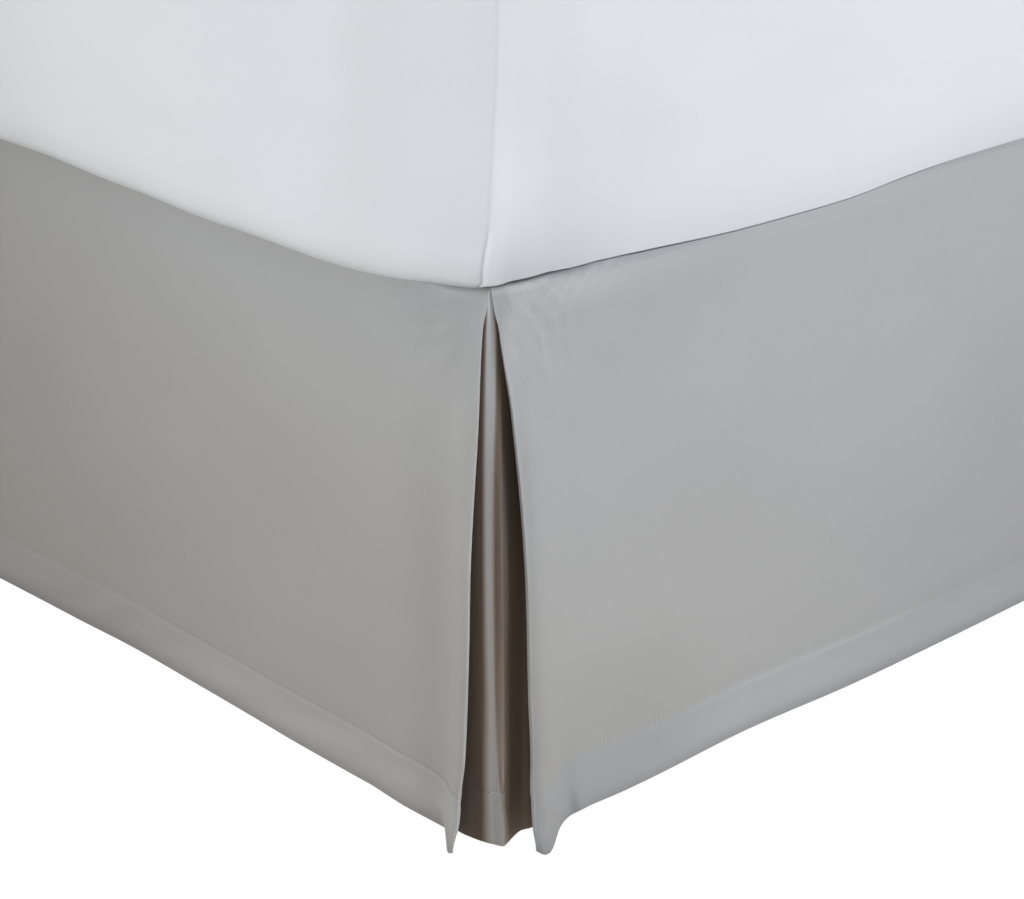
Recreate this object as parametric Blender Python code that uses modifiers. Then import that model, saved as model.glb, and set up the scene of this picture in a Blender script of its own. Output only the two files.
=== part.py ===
"""A bed skirt with split corners, hanging from the edge of a plain bed.

Metres, +Z up. The foot of the bed faces -Y and the head faces +Y. The floor is
z = 0 and the origin lies under the middle of the bed.

Three drops of cloth fall from the base: one across the foot and one down each
long side. At both foot corners the drops are not joined: their hemmed edges
hang free, swing a little outwards, and a separate insert covers the gap from
behind. The heads of the side drops end level with the head of the base.
"""

import math
from collections import namedtuple

import bmesh
import bpy
from mathutils import Vector

MM = 0.001

# ---------------------------------------------------------------- driving sizes

BED_WIDTH = 1524 * MM        # between the outer faces of the two side drops
BED_LENGTH = 2032 * MM       # from the foot drop's outer face to the head end
BASE_TOP = 389 * MM
BASE_UNDERSIDE = 160 * MM
HEM_HEIGHT = 8 * MM          # from the floor to the bottom of the drops

CLOTH = 1.5 * MM             # a single layer with its finish
HEM_CLOTH = 2.4 * MM         # a turned hem, several layers pressed flat
HEM_DEPTH = 42 * MM
HEM_STEP = 0.5 * MM          # how far the hem's fold stands proud
SEAM_GAP = 0.3 * MM          # kept on each side of two pieces that meet

CORNER_RADIUS = 38 * MM      # of the drops' outer face, in plan, at the top
TURN_RADIUS = 8 * MM         # where the cloth turns over the base's top edge
TURN_DEPTH = 28 * MM         # how far the turned cloth reaches over the base
TURN_TOP = 391.2 * MM
HANG_TOP = TURN_TOP - TURN_RADIUS
CORNER_REACH = 122 * MM      # the free edges bend the cloth up to here

BASE_INSET = 14 * MM         # the base stands this far inside the drops
BASE_EDGE_RADIUS = 14 * MM
DECK_UNDERSIDE = BASE_TOP + 0.4 * MM
DECK_INSET = TURN_DEPTH + 2 * SEAM_GAP

LEG_HEIGHT = BASE_UNDERSIDE - SEAM_GAP
LEG_TOP_RADIUS = 28 * MM
LEG_FOOT_RADIUS = 22 * MM
LEG_INSET = 75 * MM
LEG_SIDES = 16

INSERT_CLOTH = 1.2 * MM
INSERT_TOP = 385 * MM
INSERT_GAP = 2.5 * MM        # behind the drops' outer face, at the top

MATTRESS_UNDERSIDE = TURN_TOP + 0.4 * MM
MATTRESS_HEIGHT = 260 * MM
MATTRESS_SIDE_OVERHANG = 31 * MM
MATTRESS_END_OVERHANG = 42 * MM
MATTRESS_CORNER_RADIUS = 85 * MM
MATTRESS_LOWER_ROUND = 15 * MM
MATTRESS_UPPER_ROUND = 36 * MM
MATTRESS_SIDE_BOW = 4 * MM   # the sides are a touch fuller between corners

# ------------------------------------------------------- how the free edges hang
# One row for each level of a drop's free edge: the height of the level, how far
# the edge is from the sharp corner of the bed, how far it swings outwards
# (negative where it follows the rounded corner of the base), how far from the
# corner the bend begins, and how abruptly it bends. The first row is the cloth
# turned over the base, where the two edges of a split nearly meet.

EdgeLevel = namedtuple("EdgeLevel", "height edge swing bend_from bend_power")

FOOT_DROP_AT_SPLIT = [
    EdgeLevel(391.2 * MM, 10.0 * MM, -12.3 * MM, 38 * MM, 2.1),
    EdgeLevel(383.2 * MM, 11.2 * MM, -11.2 * MM, 38 * MM, 2.1),
    EdgeLevel(377.0 * MM, 11.8 * MM, -8.9 * MM, 40 * MM, 2.1),
    EdgeLevel(366.0 * MM, 11.8 * MM, -7.1 * MM, 42 * MM, 2.1),
    EdgeLevel(347.0 * MM, 11.3 * MM, -4.0 * MM, 48 * MM, 2.1),
    EdgeLevel(310.0 * MM, 9.7 * MM, 0.0 * MM, 62 * MM, 2.2),
    EdgeLevel(217.0 * MM, 11.0 * MM, 6.5 * MM, 80 * MM, 2.2),
    EdgeLevel(148.0 * MM, 11.8 * MM, 8.6 * MM, 85 * MM, 2.2),
    EdgeLevel(75.0 * MM, 14.3 * MM, 11.0 * MM, 88 * MM, 2.4),
    EdgeLevel(57.0 * MM, 16.6 * MM, 12.3 * MM, 78 * MM, 2.2),
    EdgeLevel(30.0 * MM, 18.9 * MM, 13.0 * MM, 58 * MM, 1.6),
    EdgeLevel(8.0 * MM, 24.5 * MM, 16.5 * MM, 44 * MM, 0.65),
]

SIDE_DROP_AT_SPLIT = [
    EdgeLevel(391.2 * MM, 13.2 * MM, -9.2 * MM, 38 * MM, 2.1),
    EdgeLevel(383.2 * MM, 13.7 * MM, -8.8 * MM, 38 * MM, 2.1),
    EdgeLevel(370.0 * MM, 15.0 * MM, -6.2 * MM, 41 * MM, 2.1),
    EdgeLevel(352.0 * MM, 16.5 * MM, -3.2 * MM, 46 * MM, 2.0),
    EdgeLevel(309.0 * MM, 19.2 * MM, 2.8 * MM, 62 * MM, 2.0),
    EdgeLevel(213.0 * MM, 24.5 * MM, 8.0 * MM, 80 * MM, 2.0),
    EdgeLevel(116.0 * MM, 25.5 * MM, 11.0 * MM, 82 * MM, 2.0),
    EdgeLevel(73.0 * MM, 26.2 * MM, 12.0 * MM, 82 * MM, 2.0),
    EdgeLevel(24.0 * MM, 25.2 * MM, 9.8 * MM, 80 * MM, 2.0),
    EdgeLevel(8.0 * MM, 25.7 * MM, 8.8 * MM, 80 * MM, 2.0),
]

SIDE_DROP_AT_HEAD = [
    EdgeLevel(391.2 * MM, 7.0 * MM, 0.0 * MM, 70 * MM, 2.0),
    EdgeLevel(383.2 * MM, 7.0 * MM, 0.0 * MM, 70 * MM, 2.0),
    EdgeLevel(200.0 * MM, 8.0 * MM, 1.5 * MM, 80 * MM, 2.0),
    EdgeLevel(8.0 * MM, 11.0 * MM, 5.0 * MM, 90 * MM, 2.0),
]

# How much longer the cloth hangs near a free corner than along the hem.

HemDip = namedtuple("HemDip", "along dip")

FOOT_HEM_DIPS = [
    HemDip(24.5 * MM, 3.6 * MM),
    HemDip(27.5 * MM, 5.6 * MM),
    HemDip(31 * MM, 6.2 * MM),
    HemDip(34 * MM, 4.6 * MM),
    HemDip(38 * MM, 2.6 * MM),
    HemDip(44 * MM, 1.6 * MM),
    HemDip(58 * MM, 1.6 * MM),
    HemDip(90 * MM, 2.0 * MM),
    HemDip(122 * MM, 0.0 * MM),
]

SIDE_HEM_DIPS = [
    HemDip(25 * MM, 2.4 * MM),
    HemDip(31 * MM, 6.4 * MM),
    HemDip(37 * MM, 7.2 * MM),
    HemDip(44 * MM, 6.6 * MM),
    HemDip(54 * MM, 4.6 * MM),
    HemDip(68 * MM, 0.2 * MM),
    HemDip(78 * MM, -0.4 * MM),
    HemDip(90 * MM, -1.1 * MM),
    HemDip(104 * MM, -0.5 * MM),
    HemDip(122 * MM, 0.0 * MM),
]

HEAD_HEM_DIPS = [HemDip(10 * MM, 1.0 * MM), HemDip(60 * MM, 0.0 * MM)]

# The soft lobe that the side drop's lower corner rolls into.

LOBE_ALONG = 35 * MM
LOBE_NEAR_HALF = 20 * MM
LOBE_FAR_HALF = 31 * MM
LOBE_SWING = 10.5 * MM
LOBE_TOP = 62 * MM
LOBE_GROWTH = 1.6

# Slow waves of the drops, as how far the hem stands out at places along them.
# They grow from nothing at the top.

WAVE_GROWTH = 1.3
HemWave = namedtuple("HemWave", "along out")

FOOT_WAVES = [
    HemWave(0 * MM, 0.0 * MM),
    HemWave(200 * MM, 0.0 * MM),
    HemWave(258 * MM, -1.5 * MM),
    HemWave(320 * MM, -2.8 * MM),
    HemWave(410 * MM, -4.0 * MM),
    HemWave(470 * MM, -1.9 * MM),
    HemWave(510 * MM, -0.9 * MM),
    HemWave(650 * MM, 2.0 * MM),
    HemWave(800 * MM, -2.5 * MM),
    HemWave(950 * MM, -4.5 * MM),
    HemWave(1110 * MM, 1.5 * MM),
    HemWave(1300 * MM, -1.5 * MM),
    HemWave(1524 * MM, 0.0 * MM),
]

SIDE_WAVES = [
    HemWave(0 * MM, 0.0 * MM),
    HemWave(145 * MM, 0.5 * MM),
    HemWave(245 * MM, -2.7 * MM),
    HemWave(352 * MM, 1.5 * MM),
    HemWave(466 * MM, 1.0 * MM),
    HemWave(600 * MM, -1.0 * MM),
    HemWave(780 * MM, 2.5 * MM),
    HemWave(980 * MM, -3.5 * MM),
    HemWave(1190 * MM, 3.0 * MM),
    HemWave(1400 * MM, -2.0 * MM),
    HemWave(1600 * MM, 2.5 * MM),
    HemWave(1820 * MM, -2.5 * MM),
    HemWave(2032 * MM, 0.0 * MM),
]

# The insert's lower edge: how far each fold lies along the foot from the sharp
# corner, how far in from the foot drop's face, and how high it hangs. Two firm
# creases bound a narrow face that looks out through the split.

INSERT_FLARE = 0.7
InsertFold = namedtuple("InsertFold", "along_foot inward height")

INSERT_FOLDS = [
    InsertFold(115.0 * MM, 4.4 * MM, 7.0 * MM),
    InsertFold(80.0 * MM, 4.4 * MM, 7.0 * MM),
    InsertFold(56.0 * MM, 4.4 * MM, 6.8 * MM),
    InsertFold(43.0 * MM, 4.0 * MM, 6.5 * MM),
    InsertFold(34.0 * MM, 4.2 * MM, 6.1 * MM),
    InsertFold(24.0 * MM, 6.2 * MM, 5.7 * MM),
    InsertFold(16.6 * MM, 8.5 * MM, 5.3 * MM),
    InsertFold(12.4 * MM, 13.0 * MM, 3.6 * MM),
    InsertFold(8.4 * MM, 17.5 * MM, 2.1 * MM),
    InsertFold(8.8 * MM, 22.5 * MM, 2.8 * MM),
    InsertFold(10.2 * MM, 28.2 * MM, 4.0 * MM),
    InsertFold(10.6 * MM, 35.5 * MM, 6.0 * MM),
    InsertFold(7.4 * MM, 42.0 * MM, 7.0 * MM),
    InsertFold(5.2 * MM, 56.0 * MM, 7.2 * MM),
    InsertFold(4.4 * MM, 80.0 * MM, 7.4 * MM),
    InsertFold(4.4 * MM, 115.0 * MM, 7.4 * MM),
]

# How far the mattress's lower edge stands past the drops, going from the middle
# of the foot round the corner and along the side. `place` counts along the
# outline from the middle of the rounded corner, negative towards the foot.

LowerEdge = namedtuple("LowerEdge", "place overhang")

MATTRESS_LOWER_EDGE = [
    LowerEdge(-720 * MM, 27.0 * MM),
    LowerEdge(-560 * MM, 28.0 * MM),
    LowerEdge(-472 * MM, 24.9 * MM),
    LowerEdge(-412 * MM, 23.4 * MM),
    LowerEdge(-346 * MM, 27.4 * MM),
    LowerEdge(-286 * MM, 28.6 * MM),
    LowerEdge(-225 * MM, 32.2 * MM),
    LowerEdge(-172 * MM, 30.8 * MM),
    LowerEdge(-98 * MM, 30.5 * MM),
    LowerEdge(-67 * MM, 27.0 * MM),
    LowerEdge(-33 * MM, 21.0 * MM),
    LowerEdge(0 * MM, 21.8 * MM),
    LowerEdge(16 * MM, 13.5 * MM),
    LowerEdge(33 * MM, 5.0 * MM),
    LowerEdge(67 * MM, 1.0 * MM),
    LowerEdge(95 * MM, 4.1 * MM),
    LowerEdge(152 * MM, 13.8 * MM),
    LowerEdge(193 * MM, 18.5 * MM),
    LowerEdge(239 * MM, 20.4 * MM),
    LowerEdge(287 * MM, 20.9 * MM),
    LowerEdge(346 * MM, 13.8 * MM),
    LowerEdge(405 * MM, 9.5 * MM),
    LowerEdge(487 * MM, 8.3 * MM),
    LowerEdge(640 * MM, 16.0 * MM),
    LowerEdge(830 * MM, 11.0 * MM),
    LowerEdge(1000 * MM, 18.0 * MM),
]

# Levels of the hanging cloth, as shares of the way down, with two close rows at
# the stitched top of the hem.

HEM_SHARE = 1 - HEM_DEPTH / (HANG_TOP - HEM_HEIGHT)
DROP_SHARES = [0, 0.02, 0.05, 0.11, 0.21, 0.34, 0.49, 0.63, 0.76, 0.85,
               HEM_SHARE - 0.006, HEM_SHARE + 0.006, 0.945, 0.975, 1]
INSERT_SHARES = [0, 0.10, 0.25, 0.45, 0.65, 0.82, HEM_SHARE - 0.006, HEM_SHARE + 0.006, 0.95, 1]
TURN_ANGLES = [90, 58, 28]   # of the turned cloth's round, in degrees, from above
LOWER_ROUND_ANGLES = [90, 68, 40, 0]
UPPER_ROUND_ANGLES = [0, 35, 65, 90]
MATTRESS_SIDE_ROWS = [(0.30, 0.45), (0.62, 0.0)]   # share of the height, waviness
MATTRESS_END_STEPS = 7
MATTRESS_ARC_STEPS = 8
MATTRESS_SIDE_STEPS = 10
MATTRESS_SPREAD = 1.1
SPLIT_COLUMNS = 10
HEAD_COLUMNS = 4
COLUMN_SPREAD = 1.35         # columns stand closer together near a free edge
COLUMN_STEP = 105 * MM

# --------------------------------------------------------------------- materials

Finish = namedtuple("Finish", "colour roughness metallic")

FINISHES = {
    "skirt_cloth": Finish((0.36, 0.36, 0.36), 0.55, 0.0),
    "insert_cloth": Finish((0.13, 0.11, 0.09), 0.50, 0.0),
    "deck_cloth": Finish((0.72, 0.72, 0.70), 0.80, 0.0),
    "sheet_cloth": Finish((0.78, 0.80, 0.84), 0.75, 0.0),
    "base_cloth": Finish((0.55, 0.53, 0.50), 0.85, 0.0),
    "leg_wood": Finish((0.10, 0.06, 0.035), 0.45, 0.0),
}


def finish_material(name):
    material = bpy.data.materials.get(name)
    if material is None:
        finish = FINISHES[name]
        material = bpy.data.materials.new(name)
        material.use_nodes = True
        shader = material.node_tree.nodes["Principled BSDF"]
        shader.inputs["Base Color"].default_value = (*finish.colour, 1)
        shader.inputs["Roughness"].default_value = finish.roughness
        shader.inputs["Metallic"].default_value = finish.metallic
        material.diffuse_color = (*finish.colour, 1)
    return material


# ----------------------------------------------------------------------- helpers

def start_empty():
    for old in list(bpy.data.objects):
        bpy.data.objects.remove(old, do_unlink=True)
    collection = bpy.data.collections.new("bed_skirt")
    bpy.context.scene.collection.children.link(collection)
    return collection


def add_object(collection, name, mesh_builder, finish):
    """Wrap a finished bmesh as a named object with its own finish."""
    mesh = bpy.data.meshes.new(name)
    mesh_builder.to_mesh(mesh)
    mesh_builder.free()
    thing = bpy.data.objects.new(name, mesh)
    collection.objects.link(thing)
    mesh.materials.append(finish_material(finish))
    return thing


def smooth_between(rows, key, column, place):
    """Read a column of a table at a place between its rows, without corners."""
    places = [getattr(row, key) for row in rows]
    values = [getattr(row, column) for row in rows]
    if places[0] > places[-1]:
        places.reverse()
        values.reverse()
    if place <= places[0]:
        return values[0]
    if place >= places[-1]:
        return values[-1]
    index = next(i for i in range(len(places) - 1) if place <= places[i + 1])
    slopes = []
    for i in (index, index + 1):
        before = max(i - 1, 0)
        after = min(i + 1, len(places) - 1)
        slopes.append((values[after] - values[before]) / (places[after] - places[before]))
    step = places[index + 1] - places[index]
    t = (place - places[index]) / step
    return (values[index] * (1 + 2 * t) * (1 - t) ** 2
            + slopes[0] * step * t * (1 - t) ** 2
            + values[index + 1] * t ** 2 * (3 - 2 * t)
            - slopes[1] * step * t ** 2 * (1 - t))


def sheet_from_points(rows_of_points, face_outwards):
    """Shape a flat grid into a sheet whose points are given row by row."""
    row_count = len(rows_of_points)
    column_count = len(rows_of_points[0])
    sheet = bmesh.new()
    bmesh.ops.create_grid(sheet, x_segments=column_count - 1, y_segments=row_count - 1, size=0.5)
    for vertex in sheet.verts:
        column = round((vertex.co.x + 0.5) * (column_count - 1))
        row = round((vertex.co.y + 0.5) * (row_count - 1))
        vertex.co = rows_of_points[row][column]
    sheet.normal_update()
    if sum(face.normal.dot(face_outwards) * face.calc_area() for face in sheet.faces) < 0:
        bmesh.ops.reverse_faces(sheet, faces=sheet.faces)
    return sheet


def thicken(thing, thickness, thin_share=None):
    """Give a sheet its thickness on the side away from its face."""
    solid = thing.modifiers.new("cloth thickness", "SOLIDIFY")
    solid.thickness = thickness
    solid.offset = -1
    solid.use_even_offset = True
    if thin_share is not None:
        solid.vertex_group = "hem"
        solid.thickness_vertex_group = thin_share


# ------------------------------------------------------------------------- drops

def bed_corner(x_side, y_side):
    """A sharp upright edge of the bed, on the floor."""
    return Vector((x_side * BED_WIDTH / 2, y_side * BED_LENGTH / 2, 0))


class Drop:
    """A hanging length of cloth, run along one face of the bed."""

    def __init__(self, start, run, outward, length, waves, start_levels, start_dips,
                 end_levels, end_dips, start_round, end_round, start_lobe, end_lobe):
        self.start = start
        self.run = run
        self.outward = outward
        self.length = length
        self.waves = waves
        self.ends = [
            DropEnd(start_levels, start_dips, start_round, start_lobe),
            DropEnd(end_levels, end_dips, end_round, end_lobe),
        ]

    def columns(self):
        """Pairs of (which end, share) near the ends, and plain places between."""
        first, last = self.ends
        middle = max(2, round((self.length - first.reach - last.reach) / COLUMN_STEP))
        places = [(0, i / first.steps) for i in range(first.steps)]
        for i in range(middle + 1):
            span = self.length - first.reach - last.reach
            places.append((None, first.reach + span * i / middle))
        places += [(1, i / last.steps) for i in range(last.steps - 1, -1, -1)]
        return places

    def point(self, column, share):
        """A point of the hanging cloth: a column, and a share of the way down."""
        which, value = column
        if which is None:
            along = value
            out = 0
            dip = 0
        else:
            near, out, dip = self.ends[which].section(value, share)
            along = near if which == 0 else self.length - near
        out += smooth_between(self.waves, "along", "out", along) * share ** WAVE_GROWTH
        if share > HEM_SHARE:
            out += HEM_STEP
        height = HANG_TOP - share * (HANG_TOP - HEM_HEIGHT + dip)
        return self.start + self.run * along + self.outward * out + Vector((0, 0, height))

    def turned_point(self, column, inset, height):
        """A point of the cloth turned over the top edge of the base."""
        which, value = column
        if which is None:
            return self.start + self.run * value - self.outward * inset + Vector((0, 0, height))
        along, out, turn = self.ends[which].top_outline(value, height)
        along += inset * math.sin(turn)
        out -= inset * math.cos(turn)
        if which == 1:
            along = self.length - along
        return self.start + self.run * along + self.outward * out + Vector((0, 0, height))

    def rows(self):
        columns = self.columns()
        rows = [[self.turned_point(c, TURN_DEPTH, TURN_TOP) for c in columns]]
        for degrees in TURN_ANGLES:
            angle = math.radians(degrees)
            inset = TURN_RADIUS * (1 - math.cos(angle))
            height = HANG_TOP + TURN_RADIUS * math.sin(angle)
            rows.append([self.turned_point(c, inset, height) for c in columns])
        for share in DROP_SHARES:
            rows.append([self.point(c, share) for c in columns])
        return rows


class DropEnd:
    """How a drop hangs near one of its free edges."""

    def __init__(self, levels, dips, follows_round, lobe):
        self.levels = levels
        self.dips = dips
        self.follows_round = follows_round
        self.lobe = lobe
        self.reach = CORNER_REACH
        self.steps = SPLIT_COLUMNS if follows_round else HEAD_COLUMNS

    def top_outline(self, share, height):
        """Where the outline is near the top, and how far it has turned the corner."""
        edge = smooth_between(self.levels, "height", "edge", height)
        along = edge + (self.reach - edge) * share ** COLUMN_SPREAD
        if not self.follows_round or along >= CORNER_RADIUS:
            return along, 0, 0
        turn = math.asin((CORNER_RADIUS - along) / CORNER_RADIUS)
        return along, -CORNER_RADIUS * (1 - math.cos(turn)), turn

    def section(self, share, down):
        """Distance from the corner, swing outwards and dip of one point."""
        height = HANG_TOP - down * (HANG_TOP - HEM_HEIGHT)
        edge, swing, bend_from, power = (
            smooth_between(self.levels, "height", column, height)
            for column in ("edge", "swing", "bend_from", "bend_power"))
        along = edge + (self.reach - edge) * share ** COLUMN_SPREAD
        if down == 0:
            along, out, _ = self.top_outline(share, HANG_TOP)
            return along, out, 0
        out = swing * max(0, (bend_from - along) / (bend_from - edge)) ** power
        if self.lobe and height < LOBE_TOP:
            half_width = LOBE_NEAR_HALF if along < LOBE_ALONG else LOBE_FAR_HALF
            from_middle = (along - LOBE_ALONG) / half_width
            if abs(from_middle) < 1:
                rise = ((LOBE_TOP - height) / (LOBE_TOP - HEM_HEIGHT)) ** LOBE_GROWTH
                out += LOBE_SWING * rise * math.cos(from_middle * math.pi / 2) ** 2
        return along, out, smooth_between(self.dips, "along", "dip", along)


def add_drop(collection, name, drop):
    rows = drop.rows()
    sheet = sheet_from_points(rows, drop.outward)
    hem_top = HANG_TOP - HEM_SHARE * (HANG_TOP - HEM_HEIGHT)
    thing = add_object(collection, name, sheet, "skirt_cloth")
    hem = thing.vertex_groups.new(name="hem")
    in_hem = [vertex.index for vertex in thing.data.vertices if vertex.co.z < hem_top]
    hem.add(in_hem, 1.0, "REPLACE")
    thicken(thing, HEM_CLOTH, CLOTH / HEM_CLOTH)
    return thing


def make_drops(collection):
    right = bed_corner(1, -1)
    left = bed_corner(-1, -1)
    add_drop(collection, "foot_panel", Drop(
        right, Vector((-1, 0, 0)), Vector((0, -1, 0)), BED_WIDTH, FOOT_WAVES,
        FOOT_DROP_AT_SPLIT, FOOT_HEM_DIPS, SIDE_DROP_AT_SPLIT, SIDE_HEM_DIPS,
        start_round=True, end_round=True, start_lobe=False, end_lobe=True))
    add_drop(collection, "side_panel_right", Drop(
        right, Vector((0, 1, 0)), Vector((1, 0, 0)), BED_LENGTH, SIDE_WAVES,
        SIDE_DROP_AT_SPLIT, SIDE_HEM_DIPS, SIDE_DROP_AT_HEAD, HEAD_HEM_DIPS,
        start_round=True, end_round=False, start_lobe=True, end_lobe=False))
    add_drop(collection, "side_panel_left", Drop(
        left, Vector((0, 1, 0)), Vector((-1, 0, 0)), BED_LENGTH, SIDE_WAVES,
        FOOT_DROP_AT_SPLIT, FOOT_HEM_DIPS, SIDE_DROP_AT_HEAD, HEAD_HEM_DIPS,
        start_round=True, end_round=False, start_lobe=False, end_lobe=False))


# ----------------------------------------------------------------------- inserts

def insert_top_path():
    """The insert's upper edge follows the rounded corner, inside the drops."""
    radius = CORNER_RADIUS - INSERT_GAP
    reach = INSERT_FOLDS[0].along_foot
    straight = reach - CORNER_RADIUS
    total = 2 * straight + radius * math.pi / 2
    steps = len(INSERT_FOLDS) - 1
    lengths = [0]
    for before, after in zip(INSERT_FOLDS, INSERT_FOLDS[1:]):
        lengths.append(lengths[-1] + math.hypot(after.along_foot - before.along_foot,
                                                after.inward - before.inward))
    path = []
    for step in range(steps + 1):
        travelled = total * lengths[step] / lengths[-1]
        if travelled < straight:
            path.append((reach - travelled, INSERT_GAP))
        elif travelled > total - straight:
            path.append((INSERT_GAP, reach - (total - travelled)))
        else:
            angle = (travelled - straight) / radius
            path.append((CORNER_RADIUS - radius * math.sin(angle),
                         CORNER_RADIUS - radius * math.cos(angle)))
    return path


def add_insert(collection, name, x_side):
    corner = bed_corner(x_side, -1)
    top = insert_top_path()
    rows = []
    for share in INSERT_SHARES:
        spread = share ** INSERT_FLARE
        row = []
        for (top_along, top_in), fold in zip(top, INSERT_FOLDS):
            along = top_along + (fold.along_foot - top_along) * spread
            inward = top_in + (fold.inward - top_in) * spread
            height = INSERT_TOP - share * (INSERT_TOP - fold.height)
            row.append(corner + Vector((-x_side * along, inward, height)))
        rows.append(row)
    sheet = sheet_from_points(rows, Vector((x_side, -1, 0)))
    thing = add_object(collection, name, sheet, "insert_cloth")
    thicken(thing, INSERT_CLOTH)


def make_inserts(collection):
    add_insert(collection, "corner_insert_right", 1)
    add_insert(collection, "corner_insert_left", -1)


# --------------------------------------------------------------- deck, base, legs

def rounded_slab(size, centre, corner_radius, corner_steps, top_radius=0):
    """A box with rounded upright edges and, where asked, a rounded top edge."""
    slab = bmesh.new()
    bmesh.ops.create_cube(slab, size=1)
    for vertex in slab.verts:
        vertex.co = Vector(a * b for a, b in zip(vertex.co, size)) + Vector(centre)
    upright = [edge for edge in slab.edges
               if abs(edge.verts[0].co.z - edge.verts[1].co.z) > size[2] / 2]
    bmesh.ops.bevel(slab, geom=upright, offset=corner_radius, segments=corner_steps,
                    profile=0.5, affect="EDGES")
    if top_radius:
        top = centre[2] + size[2] / 2
        rim = [edge for edge in slab.edges
               if all(abs(vertex.co.z - top) < 1e-6 for vertex in edge.verts)]
        bmesh.ops.bevel(slab, geom=rim, offset=top_radius, segments=3, profile=0.5, affect="EDGES")
    return slab


def make_deck(collection):
    width = BED_WIDTH - 2 * DECK_INSET
    foot_end = -BED_LENGTH / 2 + DECK_INSET
    head_end = BED_LENGTH / 2 - BASE_INSET
    size = (width, head_end - foot_end, CLOTH)
    centre = (0, (head_end + foot_end) / 2, DECK_UNDERSIDE + CLOTH / 2)
    slab = rounded_slab(size, centre, CORNER_RADIUS - DECK_INSET, 5)
    add_object(collection, "skirt_deck", slab, "deck_cloth")


def make_base(collection):
    height = BASE_TOP - BASE_UNDERSIDE
    size = (BED_WIDTH - 2 * BASE_INSET, BED_LENGTH - 2 * BASE_INSET, height)
    centre = (0, 0, BASE_UNDERSIDE + height / 2)
    slab = rounded_slab(size, centre, CORNER_RADIUS - BASE_INSET, 6, BASE_EDGE_RADIUS)
    add_object(collection, "bed_base", slab, "base_cloth")


def make_legs(collection):
    x_places = {"right": BED_WIDTH / 2 - LEG_INSET, "left": LEG_INSET - BED_WIDTH / 2}
    y_places = {"foot": LEG_INSET - BED_LENGTH / 2, "middle": 0, "head": BED_LENGTH / 2 - LEG_INSET}
    for row, y in y_places.items():
        for side, x in x_places.items():
            leg = bmesh.new()
            bmesh.ops.create_cone(leg, cap_ends=True, segments=LEG_SIDES, radius1=LEG_FOOT_RADIUS,
                                  radius2=LEG_TOP_RADIUS, depth=LEG_HEIGHT)
            bmesh.ops.translate(leg, verts=leg.verts, vec=(x, y, LEG_HEIGHT / 2))
            add_object(collection, f"leg_{row}_{side}", leg, "leg_wood")


# ---------------------------------------------------------------------- mattress

def outline_point(place):
    """A point of the mattress's outline near the right foot corner.

    The place counts from the middle of the rounded corner, negative towards the
    foot end and positive along the side. Gives the point, its outward direction
    and its place.
    """
    radius = MATTRESS_CORNER_RADIUS
    half_arc = radius * math.pi / 4
    centre = Vector((BED_WIDTH / 2 - radius, radius - BED_LENGTH / 2))
    if place < -half_arc:
        return centre + Vector((place + half_arc, -radius)), Vector((0, -1)), place
    if place > half_arc:
        return centre + Vector((radius, place - half_arc)), Vector((1, 0)), place
    angle = math.pi / 4 * (1 + place / half_arc)
    normal = Vector((math.sin(angle), -math.cos(angle)))
    return centre + normal * radius, normal, place


def mattress_outline():
    """One corner's outline, carried round all four corners of the bed."""
    half_arc = MATTRESS_CORNER_RADIUS * math.pi / 4
    end_run = BED_WIDTH / 2 - MATTRESS_CORNER_RADIUS
    side_run = BED_LENGTH / 2 - MATTRESS_CORNER_RADIUS
    places = [-half_arc - end_run * (1 - i / MATTRESS_END_STEPS) ** MATTRESS_SPREAD
              for i in range(MATTRESS_END_STEPS)]
    places += [half_arc * (2 * i / MATTRESS_ARC_STEPS - 1) for i in range(MATTRESS_ARC_STEPS + 1)]
    places += [half_arc + side_run * (i / MATTRESS_SIDE_STEPS) ** MATTRESS_SPREAD
               for i in range(1, MATTRESS_SIDE_STEPS + 1)]
    quarter = [outline_point(place) for place in places]
    full = []
    for x_side, y_side in ((1, 1), (1, -1), (-1, -1), (-1, 1)):
        points = [(Vector((p.x * x_side, p.y * y_side)), Vector((n.x * x_side, n.y * y_side)), place)
                  for p, n, place in quarter]
        if x_side * y_side < 0:
            points.reverse()
        full += points[:-1]
    return full


def mattress_rows():
    """Rows of the mattress's side: height, inset, and how much of the wavy edge."""
    rows = []
    for degrees in LOWER_ROUND_ANGLES:
        angle = math.radians(degrees)
        rise = MATTRESS_LOWER_ROUND * (1 - math.sin(angle))
        rows.append((rise, MATTRESS_LOWER_ROUND * (1 - math.cos(angle)), 1))
    for share, waviness in MATTRESS_SIDE_ROWS:
        rows.append((MATTRESS_HEIGHT * share, 0, waviness))
    for degrees in UPPER_ROUND_ANGLES:
        angle = math.radians(degrees)
        fall = MATTRESS_UPPER_ROUND * (1 - math.sin(angle))
        rows.append((MATTRESS_HEIGHT - fall, MATTRESS_UPPER_ROUND * (1 - math.cos(angle)), 0))
    return rows


def mattress_point(spot, row):
    place, normal, distance = spot
    height, inset, waviness = row
    across, along = abs(normal.x), abs(normal.y)
    regular = (MATTRESS_SIDE_OVERHANG * across + MATTRESS_END_OVERHANG * along) / (across + along)
    wavy = smooth_between(MATTRESS_LOWER_EDGE, "place", "overhang", distance)
    wavy += MATTRESS_LOWER_ROUND * (1 - math.cos(math.radians(LOWER_ROUND_ANGLES[1])))
    from_middle = along * (2 * place.x / BED_WIDTH) ** 2 + across * (2 * place.y / BED_LENGTH) ** 2
    regular -= MATTRESS_SIDE_BOW * (1 - across - along + from_middle)
    overhang = wavy * waviness + regular * (1 - waviness) - inset
    flat = place + normal * overhang
    return Vector((flat.x, flat.y, MATTRESS_UNDERSIDE + height))


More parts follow.
